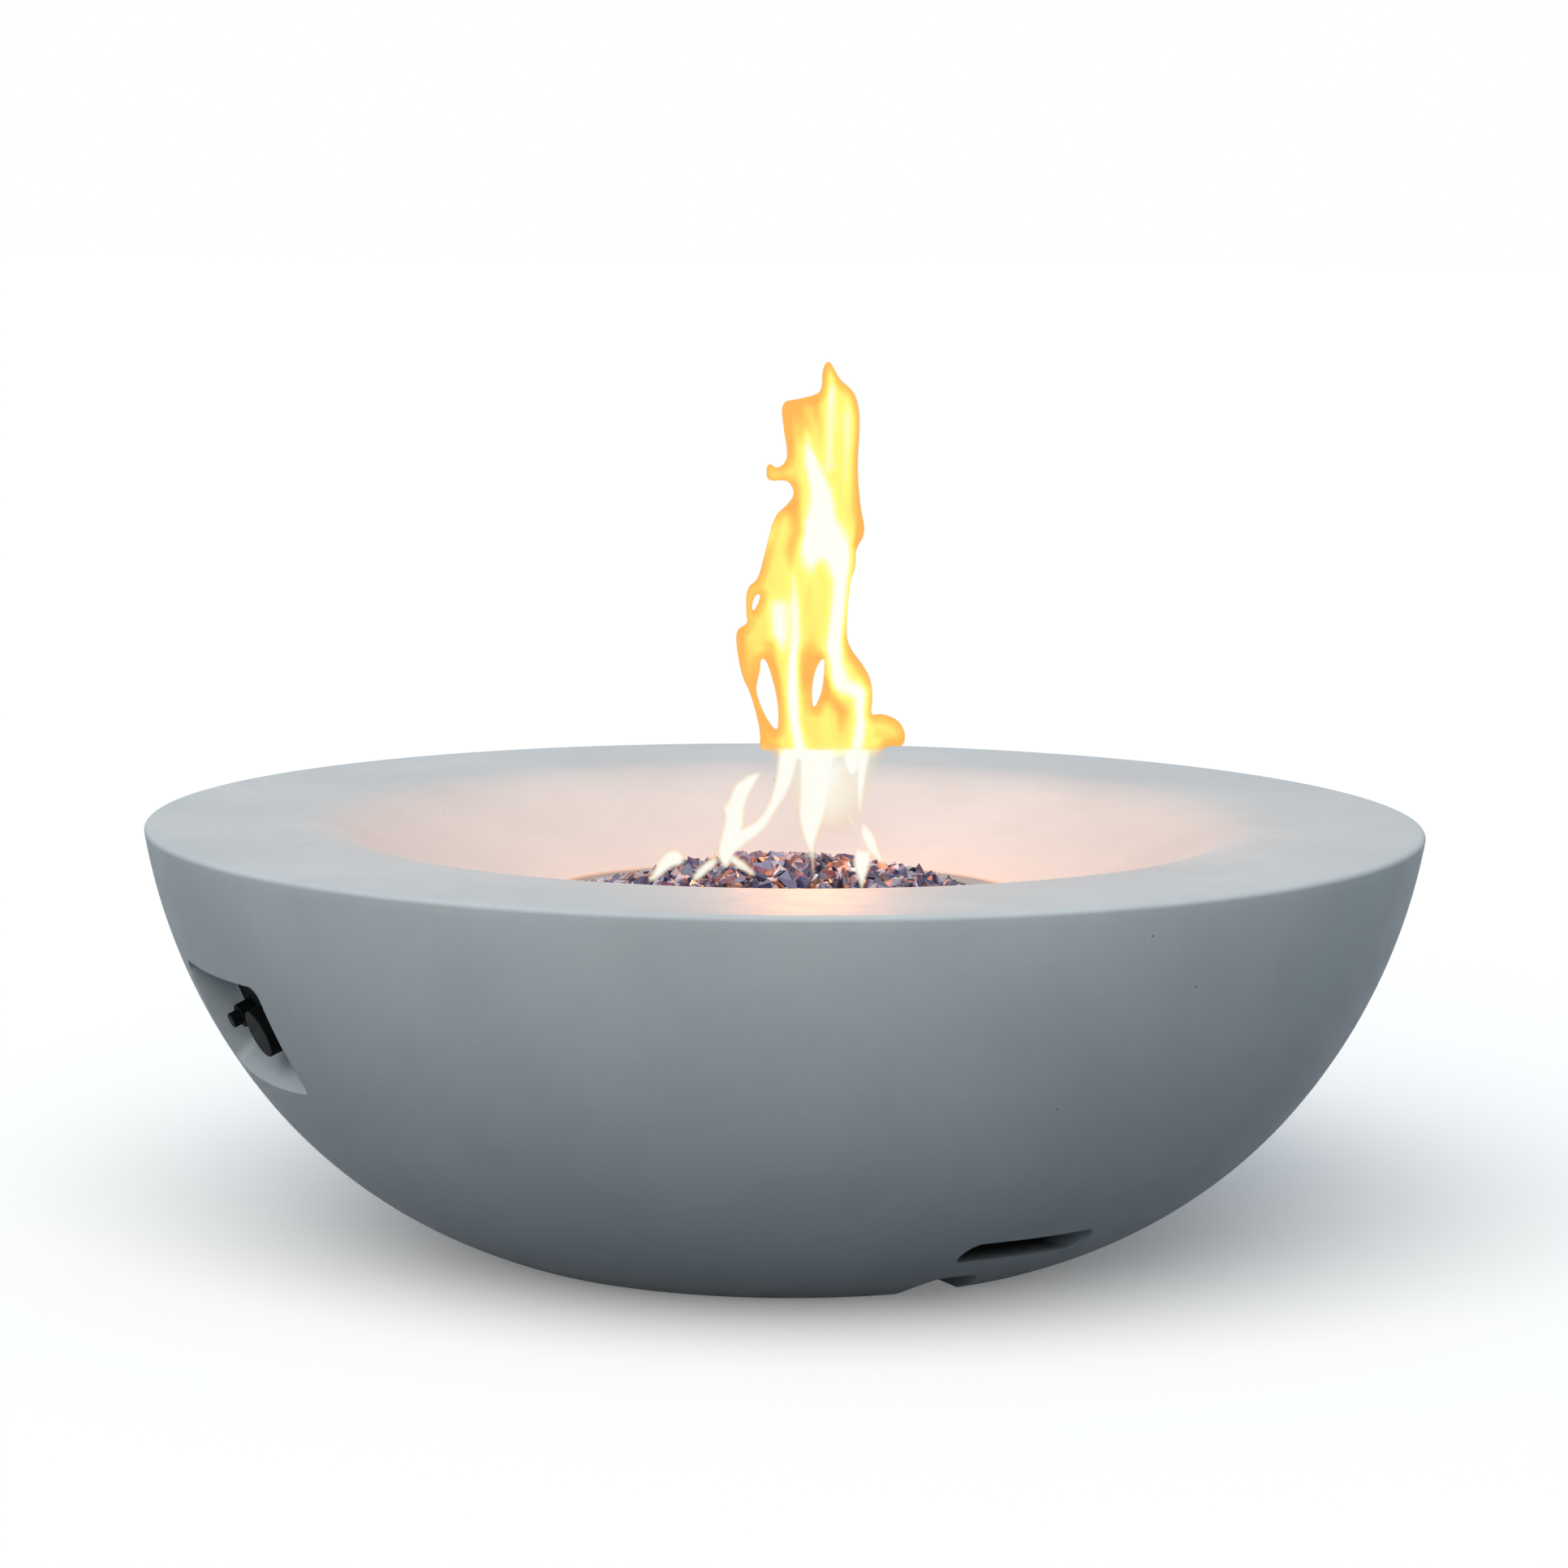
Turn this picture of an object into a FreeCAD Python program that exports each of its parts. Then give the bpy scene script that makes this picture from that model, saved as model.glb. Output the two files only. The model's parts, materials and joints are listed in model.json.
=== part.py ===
"""Gas fire bowl: a cast concrete bowl with a drop-in burner pan, a bed of fire glass and
a control recess that holds a safety valve with its knob and a battery spark igniter.

Frame: millimetres, +Z up, origin on the ground under the middle of the bowl. The front of
the bowl faces -Y. Azimuths are counted from -Y, positive towards +X.
"""
import FreeCAD, Part
import Sketcher
import math
import os
import re

# ---------------------------------------------------------------------------
# Driving dimensions: millimetres and degrees, one cell of the sheet each.
# ---------------------------------------------------------------------------
SIZES = {
    # outside of the casting: two tangent arcs from the rim down to the foot
    "rim_radius": 535, "rim_height": 353, "rim_slope": 8.86, "knee_height": 131.1,
    "knee_slope": 38.3, "foot_slope": 70.54, "foot_lift": 2, "rim_arris": 4,
    "seam_drop": 6, "seam_gap": 0.5,
    # dish inside the rim: a roll-over, then one long hollow arc down to the pan seat
    "flat_radius": 405, "roll_radius": 110, "dish_slope": 30, "dish_arc": 424,
    "seat_radius": 206.5, "seat_depth": 3.5, "opening_gap": 4,
    # shell
    "wall": 18, "foot_land": 57.7, "foot_ring_top": 28,
    # control recess, in the frame that stands on the tilted chord of the wall
    "recess_azimuth": 63.5, "recess_tilt": 24, "recess_inset": 3.2, "recess_drop": 144,
    "recess_depth": 31, "recess_width": 160, "recess_top": 50, "recess_sill": 54,
    "side_draft": 8, "top_draft": 7, "sill_draft": 27, "top_corner": 12, "sill_corner": 8,
    "recess_wall": 16, "window_width": 116, "window_height": 56, "window_corner": 18,
    "plate_rise": 4,
    # vents and hose notch
    "vent_azimuth": 33, "vent_length": 122, "vent_low": 44, "vent_high": 65, "vent_count": 2,
    "notch_azimuth": 27, "notch_width": 56, "notch_height": 25, "notch_corner": 18,
    # feet
    "foot_pad_radius": 15, "foot_pad_height": 5, "foot_inset": 28, "foot_count": 4,
    "foot_gap": 0.5,
    # burner pan
    "sheet": 1.5, "seat_margin": 1.5, "flange_width": 19, "pan_depth": 52, "pan_bend": 4,
    "flange_bend": 2, "hole_gap": 0.35,
    "drain_hole": 4, "drain_circle": 150, "drain_count": 6,
    # burner
    "ring_radius": 95, "tube_radius": 9.5, "tube_wall": 1.2, "spoke_radius": 7,
    "hub_radius": 17, "hub_height": 24, "ring_lift": 14, "port_radius": 1.5,
    "port_count": 16, "spoke_count": 4, "socket_depth": 12,
    # pipework under the pan
    "nipple_radius": 10.65, "nipple_bore": 8, "thread_gap": 0.05, "locknut_height": 8,
    "locknut_flats": 32, "elbow_radius": 15, "elbow_leg": 28, "elbow_drop": 53,
    "mixer_radius": 16, "mixer_length": 56, "mixer_bore": 12, "mixer_end": 8,
    "air_slot_width": 9, "air_slot_length": 26, "spud_radius": 5, "spud_length": 10,
    "jet_radius": 0.8, "flare_radius": 7.94, "flare_length": 14, "fitting_flats": 19,
    "fitting_hex": 8, "fitting_bore": 4, "hose_radius": 6.5, "nut_flats": 24,
    "nut_length": 20, "spigot_radius": 6, "spigot_length": 7,
    # fire glass
    "glass_gap": 0.5, "heap_margin": 9, "heap_rise": 35, "heap_edge": 1.9,
    "heap_crown": 650, "heap_slope": 101, "heap_shoulder": 700,
    "lump_pitch": 51, "lump_flats": 33, "lump_rise": 6.5, "lump_root": 8,
    "lump_taper": 32, "lump_rings": 3,
    # electrode and thermocouple beside the burner ring
    "sensor_reach": 125, "sensor_spread": 26, "bracket_length": 92, "bracket_width": 24,
    "insulator_radius": 4, "insulator_collar": 6, "insulator_top": 17, "insulator_drop": 18,
    "rod_radius": 1.2, "rod_top": 21, "rod_drop": 27, "probe_radius": 3, "probe_collar": 5,
    "probe_top": 20, "probe_drop": 18, "bracket_screw_spread": 39, "collar_height": 4,
    "nut_small_flats": 7, "nut_small_height": 3.2,
    # control plate and its fasteners
    "plate_width": 132, "plate_height": 76, "plate_corner": 5, "screw_radius": 2,
    "screw_head": 4, "screw_head_height": 2.6, "screw_length": 11, "screw_inset": 6,
    "key_flats": 2.5, "key_depth": 1.4,
    "insert_radius": 3.5, "insert_length": 12,
    # knob and stem
    "controls_drop": 5.5, "knob_offset": 17, "knob_radius": 21, "knob_taper": 0.6,
    "knob_thickness": 17.5, "knob_gap": 5.5, "knob_wall": 2.4, "knob_face": 3,
    "knob_hub": 7.5, "knob_edge": 1, "hub_setback": 4, "stem_radius": 4, "stem_flat": 2.8,
    "stem_grip": 8, "stem_length": 62, "running_gap": 0.05, "push_travel": 4,
    "pointer_width": 1.4, "pointer_depth": 0.6, "pointer_start": 11, "pointer_end": 18,
    # gas valve
    "bonnet_radius": 13, "bonnet_length": 19, "block_width": 32, "block_height": 30,
    "block_length": 34, "magnet_radius": 10, "magnet_length": 19, "pushrod_radius": 2.5,
    "pushrod_length": 15, "pushrod_head": 3.6, "pushrod_head_length": 2, "port_length": 8,
    "port_boss": 10, "valve_screw_spread": 9, "valve_screw_length": 9, "rod_clear": 1,
    # igniter
    "igniter_offset": 48, "bezel_radius": 10.2, "bezel_length": 14, "bezel_lip": 2.5,
    "button_radius": 6.4, "button_reach": 8, "button_flange": 6.9,
    "button_flange_length": 4, "button_tail": 4, "button_rest_gap": 0.2,
    "neck_radius": 8, "neck_bore": 7.2, "neck_length": 31,
    "case_width": 24, "case_height": 28, "case_length": 36, "case_corner": 3,
    "battery_radius": 5.2, "battery_length": 44, "battery_bore": 5.5,
    "battery_tip_radius": 1.9, "battery_tip": 1,
    # leads
    "probe_lead_radius": 1.5, "spark_lead_radius": 1.8, "probe_nut_flats": 9,
    "probe_nut_length": 8, "probe_stub_radius": 3.2, "probe_stub": 5, "arc_share": 0.45,
    "seat_gap": 0.1, "hose_lead": 84, "hose_reach": 285, "hose_side": 10, "hose_level": 96,
    "hose_drop": 75, "spark_drop": 56, "spark_reach": 220, "spark_side": 30,
    "spark_rise_reach": 310, "spark_rise_side": 40, "spark_level": 195, "spark_tail": 37,
    "probe_lead_drop": 50, "probe_reach": 225, "probe_side": 24, "probe_rise_reach": 310,
    "probe_rise_side": 18, "probe_level": 205, "probe_tail": 30,
}

doc = FreeCAD.newDocument("fire_bowl")
sheet = doc.addObject("Spreadsheet::Sheet", "Sizes")
for row, (word, number) in enumerate(SIZES.items(), 1):
    sheet.set(f"A{row}", word)
    sheet.set(f"B{row}", str(number))
    sheet.setAlias(f"B{row}", word)
doc.recompute()

X_AXIS = FreeCAD.Vector(1, 0, 0)
Y_AXIS = FreeCAD.Vector(0, 1, 0)
Z_AXIS = FreeCAD.Vector(0, 0, 1)
NODES = []


# ---------------------------------------------------------------------------
# Helpers
# ---------------------------------------------------------------------------
def formula(text):
    """Turn a formula in plain size names into an expression that reads the sheet."""
    def cell(match):
        word = match.group(0)
        return f"Sizes.{word}" if word in SIZES else word
    return re.sub(r"[a-z_][a-z_0-9]*", cell, str(text))


def value(text):
    """Number that a formula in size names gives now."""
    return float(sheet.evalExpression(formula(text)))


def node(item, label):
    """Name a finished sub-part; its label names its file."""
    item.Label = label
    NODES.append(item)
    return item


def new_body(name, place=None):
    """Empty PartDesign body, placed in the bowl's frame."""
    made = doc.addObject("PartDesign::Body", name)
    if place is not None:
        made.Placement = place
    return made


def new_sketch(body, name, plane="XY_Plane", offset=None):
    """Sketch on one of the body's own origin planes, shifted by offset."""
    made = body.newObject("Sketcher::SketchObject", name)
    support = [f for f in body.Origin.OriginFeatures if f.Role == plane][0]
    made.AttachmentSupport = (support, [""])
    made.MapMode = "FlatFace"
    if offset is not None:
        made.AttachmentOffset = offset
    return made


def bind(sketch, kind, refs, text):
    """Dimension constraint whose value is a formula in size names."""
    index = sketch.addConstraint(Sketcher.Constraint(kind, *refs, value(text)))
    sketch.setExpression(f"Constraints[{index}]", formula(text))


def pin_point(sketch, geometry, end, x_text, y_text):
    """Place one end of a line or arc at two formulas."""
    for kind, text, axis in (("DistanceX", x_text, -2), ("DistanceY", y_text, -1)):
        if str(text) == "0":
            sketch.addConstraint(Sketcher.Constraint("PointOnObject", geometry, end, axis))
        else:
            bind(sketch, kind, (-1, 1, geometry, end), text)


def outline(sketch, corners):
    """Closed outline through corners (x, y) or (x, y, radius, turn).

    The last two say that the edge arriving at the corner is an arc that turns left or
    right as it is travelled. Each corner is held by two formulas, each arc by its radius.
    """
    spots = [FreeCAD.Vector(value(c[0]), value(c[1]), 0) for c in corners]
    edges = []
    for index, corner in enumerate(corners):
        start, stop = spots[index - 1], spots[index]
        if len(corner) == 2:
            edges.append((sketch.addGeometry(Part.LineSegment(start, stop), False), 1, 2))
            continue
        radius, left = value(corner[2]), corner[3] == "left"
        half = (stop - start) * 0.5
        side = FreeCAD.Vector(-half.y, half.x, 0).normalize() * (1 if left else -1)
        centre = start + half + side * math.sqrt(max(radius ** 2 - half.Length ** 2, 0))
        first, last = (start, stop) if left else (stop, start)
        low = math.atan2(first.y - centre.y, first.x - centre.x)
        high = math.atan2(last.y - centre.y, last.x - centre.x)
        if high < low:
            high += 2 * math.pi
        circle = Part.Circle(centre, Z_AXIS, radius)
        number = sketch.addGeometry(Part.ArcOfCircle(circle, low, high), False)
        edges.append((number, 1, 2) if left else (number, 2, 1))
    for index, (number, begin, end) in enumerate(edges):
        after, after_begin, _ = edges[(index + 1) % len(edges)]
        joint = Sketcher.Constraint("Coincident", number, end, after, after_begin)
        sketch.addConstraint(joint)
        pin_point(sketch, number, end, corners[index][0], corners[index][1])
        if len(corners[index]) > 2:
            bind(sketch, "Radius", (number,), corners[index][2])


def circle(sketch, x_text, y_text, radius_text):
    """Circle whose centre and radius are formulas."""
    centre = FreeCAD.Vector(value(x_text), value(y_text), 0)
    number = sketch.addGeometry(Part.Circle(centre, Z_AXIS, value(radius_text)), False)
    pin_point(sketch, number, 3, x_text, y_text)
    bind(sketch, "Radius", (number,), radius_text)


def rounded_box(sketch, left, right, low, high, low_corner, high_corner):
    """Rectangle between four formulas, its low and high corners rounded."""
    a, b, c, d, p, q = left, right, low, high, low_corner, high_corner
    outline(sketch, [
        (f"{b} - {p}", c), (b, f"{c} + {p}", p, "left"),
        (b, f"{d} - {q}"), (f"{b} - {q}", d, q, "left"), (f"{a} + {q}", d),
        (a, f"{d} - {q}", q, "left"), (a, f"{c} + {p}"), (f"{a} + {p}", c, p, "left")])


def hexagon(sketch, flats_text, x_text="0", y_text="0"):
    """Regular hexagon about a point, by its width across flats."""
    corners = []
    for step in range(6):
        angle = 30 + 60 * step
        reach = f"{flats_text} / 2 / cos(30)"
        corners.append((f"({x_text}) + {reach} * cos({angle})",
                        f"({y_text}) + {reach} * sin({angle})"))
    outline(sketch, corners)


def feature(body, kind, name, sketch, **settings):
    """PartDesign feature on a sketch; settings given as text are formulas."""
    made = body.newObject(f"PartDesign::{kind}", name)
    made.Profile = sketch
    for key, setting in settings.items():
        if isinstance(setting, str) and key in ("Length", "Length2", "Angle", "Diameter"):
            made.setExpression(key, formula(setting))
        else:
            setattr(made, key, setting)
    sketch.Visibility = False
    return made


def revolve(body, name, sketch, axis="V_Axis", kind="Revolution"):
    """Full turn of a sketch about one of its own axes."""
    return feature(body, kind, name, sketch, ReferenceAxis=(sketch, [axis]), Angle="360")


def pad(body, name, sketch, length, **settings):
    """Material from the sketch plane to a formula's height."""
    return feature(body, "Pad", name, sketch, Length=length, **settings)


def pocket(body, name, sketch, length, **settings):
    """Hole from the sketch plane down to a formula's depth."""
    return feature(body, "Pocket", name, sketch, Length=length, **settings)


def polar(body, name, original, count_text, angle=360, plane="Z_Axis"):
    """Copies of a feature spaced about one of the body's own axes."""
    doc.recompute()
    made = body.newObject("PartDesign::PolarPattern", name)
    made.Originals = [original]
    made.Axis = ([f for f in body.Origin.OriginFeatures if f.Role == plane][0], [""])
    made.Angle = angle
    made.setExpression("Occurrences", formula(count_text))
    body.Tip = made
    return made


def lift(z_text, x_text="0", y_text="0", turn=None):
    """Placement at three formulas, turned if a rotation is given."""
    spot = FreeCAD.Vector(value(x_text), value(y_text), value(z_text))
    return FreeCAD.Placement(spot, turn or FreeCAD.Rotation())


# ---------------------------------------------------------------------------
# Curves of the bowl, as formulas
# ---------------------------------------------------------------------------
UPPER_ARC = "((rim_height - knee_height) / (sin(knee_slope) - sin(rim_slope)))"
LOWER_ARC = "((knee_height - foot_lift) / (sin(foot_slope) - sin(knee_slope)))"
UPPER_R = f"(rim_radius - {UPPER_ARC} * cos(rim_slope))"
UPPER_Z = f"(rim_height + {UPPER_ARC} * sin(rim_slope))"
LOWER_R = f"({UPPER_R} + ({UPPER_ARC} - {LOWER_ARC}) * cos(knee_slope))"
LOWER_Z = f"({UPPER_Z} - ({UPPER_ARC} - {LOWER_ARC}) * sin(knee_slope))"
ROLL_R = "(flat_radius - roll_radius * sin(dish_slope))"
ROLL_Z = "(rim_height - roll_radius * (1 - cos(dish_slope)))"
DISH_R = f"({ROLL_R} - dish_arc * sin(dish_slope))"
DISH_Z = f"({ROLL_Z} + dish_arc * cos(dish_slope))"


def lower_edge(z_text, inset="0"):
    """Radius of the lower outer arc, or of its offset inwards, at a height."""
    return f"{LOWER_R} + sqrt(({LOWER_ARC} - {inset})^2 - ({LOWER_Z} - ({z_text}))^2)"


def upper_edge(z_text, inset="0"):
    """Radius of the upper outer arc, or of its offset inwards, at a height."""
    return f"{UPPER_R} + sqrt(({UPPER_ARC} - {inset})^2 - ({UPPER_Z} - ({z_text}))^2)"


def dish_level(r_text, inset="0"):
    """Height of the hollow arc of the dish, or of its offset downwards, at a radius."""
    return f"{DISH_Z} - sqrt((dish_arc + {inset})^2 - (({r_text}) - {DISH_R})^2)"


SEAT_Z = f"({dish_level('seat_radius')} - seat_depth)"
SEAM_Z = "(rim_height - seam_drop)"
FOOT_BORE = f"({lower_edge('foot_lift')} - foot_land)"
FOOT_CIRCLE = f"({FOOT_BORE} + foot_inset)"
PAN_FLANGE = "(seat_radius - seat_margin)"
PAN_WELL = f"({PAN_FLANGE} - flange_width)"
PAN_OPENING = f"({PAN_WELL} + opening_gap)"


def radial_frame(azimuth_text):
    """X along the bowl's side, Y up, Z outwards from the axis at an azimuth."""
    return FreeCAD.Rotation(value(azimuth_text), 0, 90)


def controls_frame():
    """Frame of the control recess: X sideways, Y up the wall, Z out of it.

    Its origin is on the chord plane that closes the recess's mouth.
    """
    azimuth = math.radians(value("recess_azimuth"))
    level = "(rim_height - recess_drop)"
    reach = value(f"{upper_edge(level)} - recess_inset")
    spot = FreeCAD.Vector(-reach * math.sin(azimuth), -reach * math.cos(azimuth),
                          value(level))
    turn = FreeCAD.Rotation(-value("recess_azimuth"), 0, 90 + value("recess_tilt"))
    return FreeCAD.Placement(spot, turn)


CONTROLS = controls_frame()
BURNER_TURN = FreeCAD.Rotation(Z_AXIS, -90 - value("recess_azimuth"))


def at_controls(z_text, x_text="0", y_text="0", turn=None):
    """Placement in the bowl's frame of a spot given in the control frame."""
    return CONTROLS.multiply(lift(z_text, x_text, y_text, turn))


def at_burner(z_text, x_text="0", y_text="0", turn=None):
    """Placement of a spot given in the upright frame whose X points at the recess."""
    return FreeCAD.Placement(FreeCAD.Vector(), BURNER_TURN).multiply(
        lift(z_text, x_text, y_text, turn))


def beside_axis(reach, side, height):
    """Point in the upright plane of the recess: reach from the axis, side, height."""
    azimuth = math.radians(value("recess_azimuth"))
    out = FreeCAD.Vector(-math.sin(azimuth), -math.cos(azimuth), 0)
    along = FreeCAD.Vector(math.cos(azimuth), -math.sin(azimuth), 0)
    return out * reach + along * side + Z_AXIS * height


def tube(name, points, radius_text, bore_text=None):
    """Tube along straight runs joined by tangent arcs, as large as the runs allow."""
    radius = value(radius_text)
    share = value("arc_share")
    edges, spot, radii = [], points[0], []
    for before, corner, after in zip(points, points[1:], points[2:]):
        back, ahead = before - corner, after - corner
        turn = math.pi - back.getAngle(ahead)
        reach = share * min(back.Length, ahead.Length)
        radii.append(reach / math.tan(turn / 2))
        enter = corner + FreeCAD.Vector(back).normalize() * reach
        leave = corner + FreeCAD.Vector(ahead).normalize() * reach
        middle_line = (FreeCAD.Vector(back).normalize() + FreeCAD.Vector(ahead).normalize())
        middle_line.normalize()
        to_centre = radii[-1] / math.cos(turn / 2)
        middle = corner + middle_line * (to_centre - radii[-1])
        edges.append(Part.LineSegment(spot, enter).toShape())
        edges.append(Part.Arc(enter, middle, leave).toShape())
        spot = leave
    edges.append(Part.LineSegment(spot, points[-1]).toShape())
    path = Part.Wire(edges)
    heading = points[1] - points[0]

    def swept(size):
        ring = Part.Wire(Part.Circle(points[0], heading, size).toShape())
        return path.makePipeShell([ring], True, False)

    solid = swept(radius)
    section = math.pi * radius ** 2
    if abs(solid.Volume / (section * path.Length) - 1) > 0.01:
        raise ValueError(f"{name}: swept volume is not its section times its length")
    if bore_text is not None:
        solid = solid.cut(swept(value(bore_text)))
    print(name, "length", round(path.Length), "arc radii", [round(r) for r in radii])
    made = doc.addObject("Part::Feature", name)
    made.Shape = solid
    return made


# ---------------------------------------------------------------------------
# Concrete bowl: a shell cut by its core, recess, vents, notch and feet, and a dish
# ---------------------------------------------------------------------------
def edges_on_circle(shape, radius, height):
    """Names of the edges that lie on a circle about the upright axis."""
    found = []
    for number, edge in enumerate(shape.Edges, 1):
        curve = edge.Curve
        if not isinstance(curve, Part.Circle):
            continue
        if abs(curve.Radius - radius) < 0.5 and abs(curve.Center.z - height) < 0.5:
            found.append(f"Edge{number}")
    return found


def rounded(body, name, base, circle_text, height_text, radius_text):
    """Fillet on the edge that circles the upright axis at a radius and a height."""
    doc.recompute()
    names = edges_on_circle(base.Shape, value(circle_text), value(height_text))
    made = body.newObject("PartDesign::Fillet", name)
    made.Base = (base, names)
    made.setExpression("Radius", formula(radius_text))
    body.Tip = made
    return made


def casting_core():
    """The core that hollows the shell, with a box left out round the recess."""
    body = new_body("CastingCore")
    half = new_sketch(body, "CoreProfile", "XZ_Plane")
    outline(half, [
        ("0", "-wall"), (FOOT_BORE, "-wall"), (FOOT_BORE, "foot_ring_top"),
        (lower_edge("foot_ring_top", "wall"), "foot_ring_top"),
        (f"{UPPER_R} + ({UPPER_ARC} - wall) * cos(knee_slope)",
         f"{UPPER_Z} - ({UPPER_ARC} - wall) * sin(knee_slope)",
         f"{LOWER_ARC} - wall", "left"),
        (upper_edge("rim_height", "wall"), "rim_height", f"{UPPER_ARC} - wall", "left"),
        ("0", "rim_height")])
    revolve(body, "CoreTurn", half)
    box = new_sketch(body, "RecessBox", "XY_Plane", at_controls("recess_wall"))
    span = "(recess_width / 2 + recess_wall * 0.75)"
    rounded_box(box, f"-{span}", span, "-(recess_sill + recess_wall * 0.75)",
                "recess_top + recess_wall * 0.75", "sill_corner", "top_corner")
    pocket(body, "RecessBoxCut", box, "recess_depth + 2 * recess_wall")
    return body


def recess_section(body, name, level_text):
    """Rounded mouth of the recess at a level of the control frame, with its drafts."""
    section = new_sketch(body, name, "XY_Plane", at_controls(level_text))
    half = f"(recess_width / 2 + ({level_text}) * tan(side_draft))"
    rounded_box(section, f"-{half}", half,
                f"-(recess_sill + ({level_text}) * tan(sill_draft))",
                f"recess_top + ({level_text}) * tan(top_draft)",
                "sill_corner", "top_corner")
    return section


def bowl_shell():
    """Outer casting: wall and foot ring, with the recess, vents, notch and feet cut in."""
    core = casting_core()
    body = new_body("BowlShell")
    half = new_sketch(body, "ShellProfile", "XZ_Plane")
    outline(half, [
        ("0", "foot_lift"), (lower_edge("foot_lift"), "foot_lift"),
        (f"{UPPER_R} + {UPPER_ARC} * cos(knee_slope)", "knee_height", LOWER_ARC, "left"),
        (upper_edge(SEAM_Z), SEAM_Z, UPPER_ARC, "left"), ("0", SEAM_Z)])
    revolve(body, "ShellTurn", half)
    doc.recompute()
    hollow = body.newObject("PartDesign::Boolean", "Hollow")
    hollow.Type = "Cut"
    hollow.setObjects([core])
    body.Tip = hollow
    back = recess_section(body, "RecessBack", "-recess_depth")
    mouth = recess_section(body, "RecessMouth", "recess_wall")
    recess = body.newObject("PartDesign::SubtractiveLoft", "Recess")
    recess.Profile = back
    recess.Sections = [mouth]
    recess.Ruled = True
    body.Tip = recess
    window = new_sketch(body, "Window", "XY_Plane",
                        at_controls("-recess_depth + recess_wall / 2", "0", "plate_rise"))
    rounded_box(window, "-window_width / 2", "window_width / 2", "-window_height / 2",
                "window_height / 2", "window_corner", "window_corner")
    pocket(body, "WindowCut", window, "recess_wall * 2")
    vent = new_sketch(body, "Vent", "XY_Plane",
                      lift("0", turn=radial_frame("vent_azimuth")))
    rounded_box(vent, "-vent_length / 2", "vent_length / 2", "vent_low", "vent_high",
                "(vent_high - vent_low) * 0.49", "(vent_high - vent_low) * 0.49")
    slot = pocket(body, "VentCut", vent, "rim_radius", Reversed=True)
    polar(body, "Vents", slot, "vent_count")
    notch = new_sketch(body, "HoseNotch", "XY_Plane",
                       lift("0", turn=radial_frame("notch_azimuth")))
    rounded_box(notch, "-notch_width / 2", "notch_width / 2", "-notch_height",
                "notch_height", "1", "notch_corner")
    pocket(body, "HoseNotchCut", notch, "rim_radius", Reversed=True)
    foot = new_sketch(body, "FootPocket", "XY_Plane", lift("foot_lift"))
    circle(foot, f"{FOOT_CIRCLE} * cos(45)", f"{FOOT_CIRCLE} * sin(45)",
           "foot_pad_radius + foot_gap")
    hole = pocket(body, "FootPocketCut", foot, "foot_pad_height - foot_lift",
                  Reversed=True)
    polar(body, "FootPockets", hole, "foot_count")
    sockets = new_sketch(body, "InsertSockets", "XY_Plane",
                         at_controls("-recess_depth", "0", "plate_rise"))
    for side in ("-", ""):
        for level in ("-", ""):
            circle(sockets, f"{side}(plate_width / 2 - screw_inset)",
                   f"{level}(plate_height / 2 - screw_inset)", "insert_radius + seat_gap")
    pocket(body, "InsertSocketCut", sockets, "insert_length")
    return node(body, "bowl_shell")


def bowl_dish():
    """Inner casting: flat rim, roll-over and dish, bonded into the top of the shell."""
    body = new_body("BowlDish")
    half = new_sketch(body, "DishProfile", "XZ_Plane")
    under = "(rim_height - wall)"
    plug = f"{upper_edge(under, 'wall')} - seam_gap"
    outline(half, [
        (PAN_OPENING, SEAT_Z), (PAN_OPENING, dish_level(PAN_OPENING, "wall")),
        ("flat_radius - (roll_radius - wall) * sin(dish_slope)",
         "rim_height - roll_radius + (roll_radius - wall) * cos(dish_slope)",
         "dish_arc + wall", "left"),
        ("flat_radius", under, "roll_radius - wall", "right"),
        (plug, under), (plug, SEAM_Z), (upper_edge(SEAM_Z), SEAM_Z),
        ("rim_radius", "rim_height", UPPER_ARC, "left"),
        ("flat_radius", "rim_height"),
        (ROLL_R, ROLL_Z, "roll_radius", "left"),
        ("seat_radius", dish_level("seat_radius"), "dish_arc", "right"),
        ("seat_radius", SEAT_Z)])
    turned = revolve(body, "DishTurn", half)
    rounded(body, "RimArris", turned, "rim_radius", "rim_height", "rim_arris")
    return node(body, "bowl_dish")


def rubber_feet():
    """Round pads glued in pockets under the foot ring, so that water can run out."""
    body = new_body("RubberFeet")
    pads = []
    sketch = new_sketch(body, "PadCircle")
    circle(sketch, f"{FOOT_CIRCLE} * cos(45)", f"{FOOT_CIRCLE} * sin(45)",
           "foot_pad_radius")
    pads.append(pad(body, "FootPad", sketch, "foot_pad_height"))
    polar(body, "FootPads", pads[0], "foot_count")
    return node(body, "rubber_feet")


# ---------------------------------------------------------------------------
# Burner pan, burner ring and the pipework that hangs from them
# ---------------------------------------------------------------------------
FLOOR_Z = f"({SEAT_Z} + sheet - pan_depth)"
RING_Z = f"({FLOOR_Z} + ring_lift)"
PIPE_Z = f"({FLOOR_Z} - elbow_drop)"
THREAD = "(nipple_radius + thread_gap)"


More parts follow.
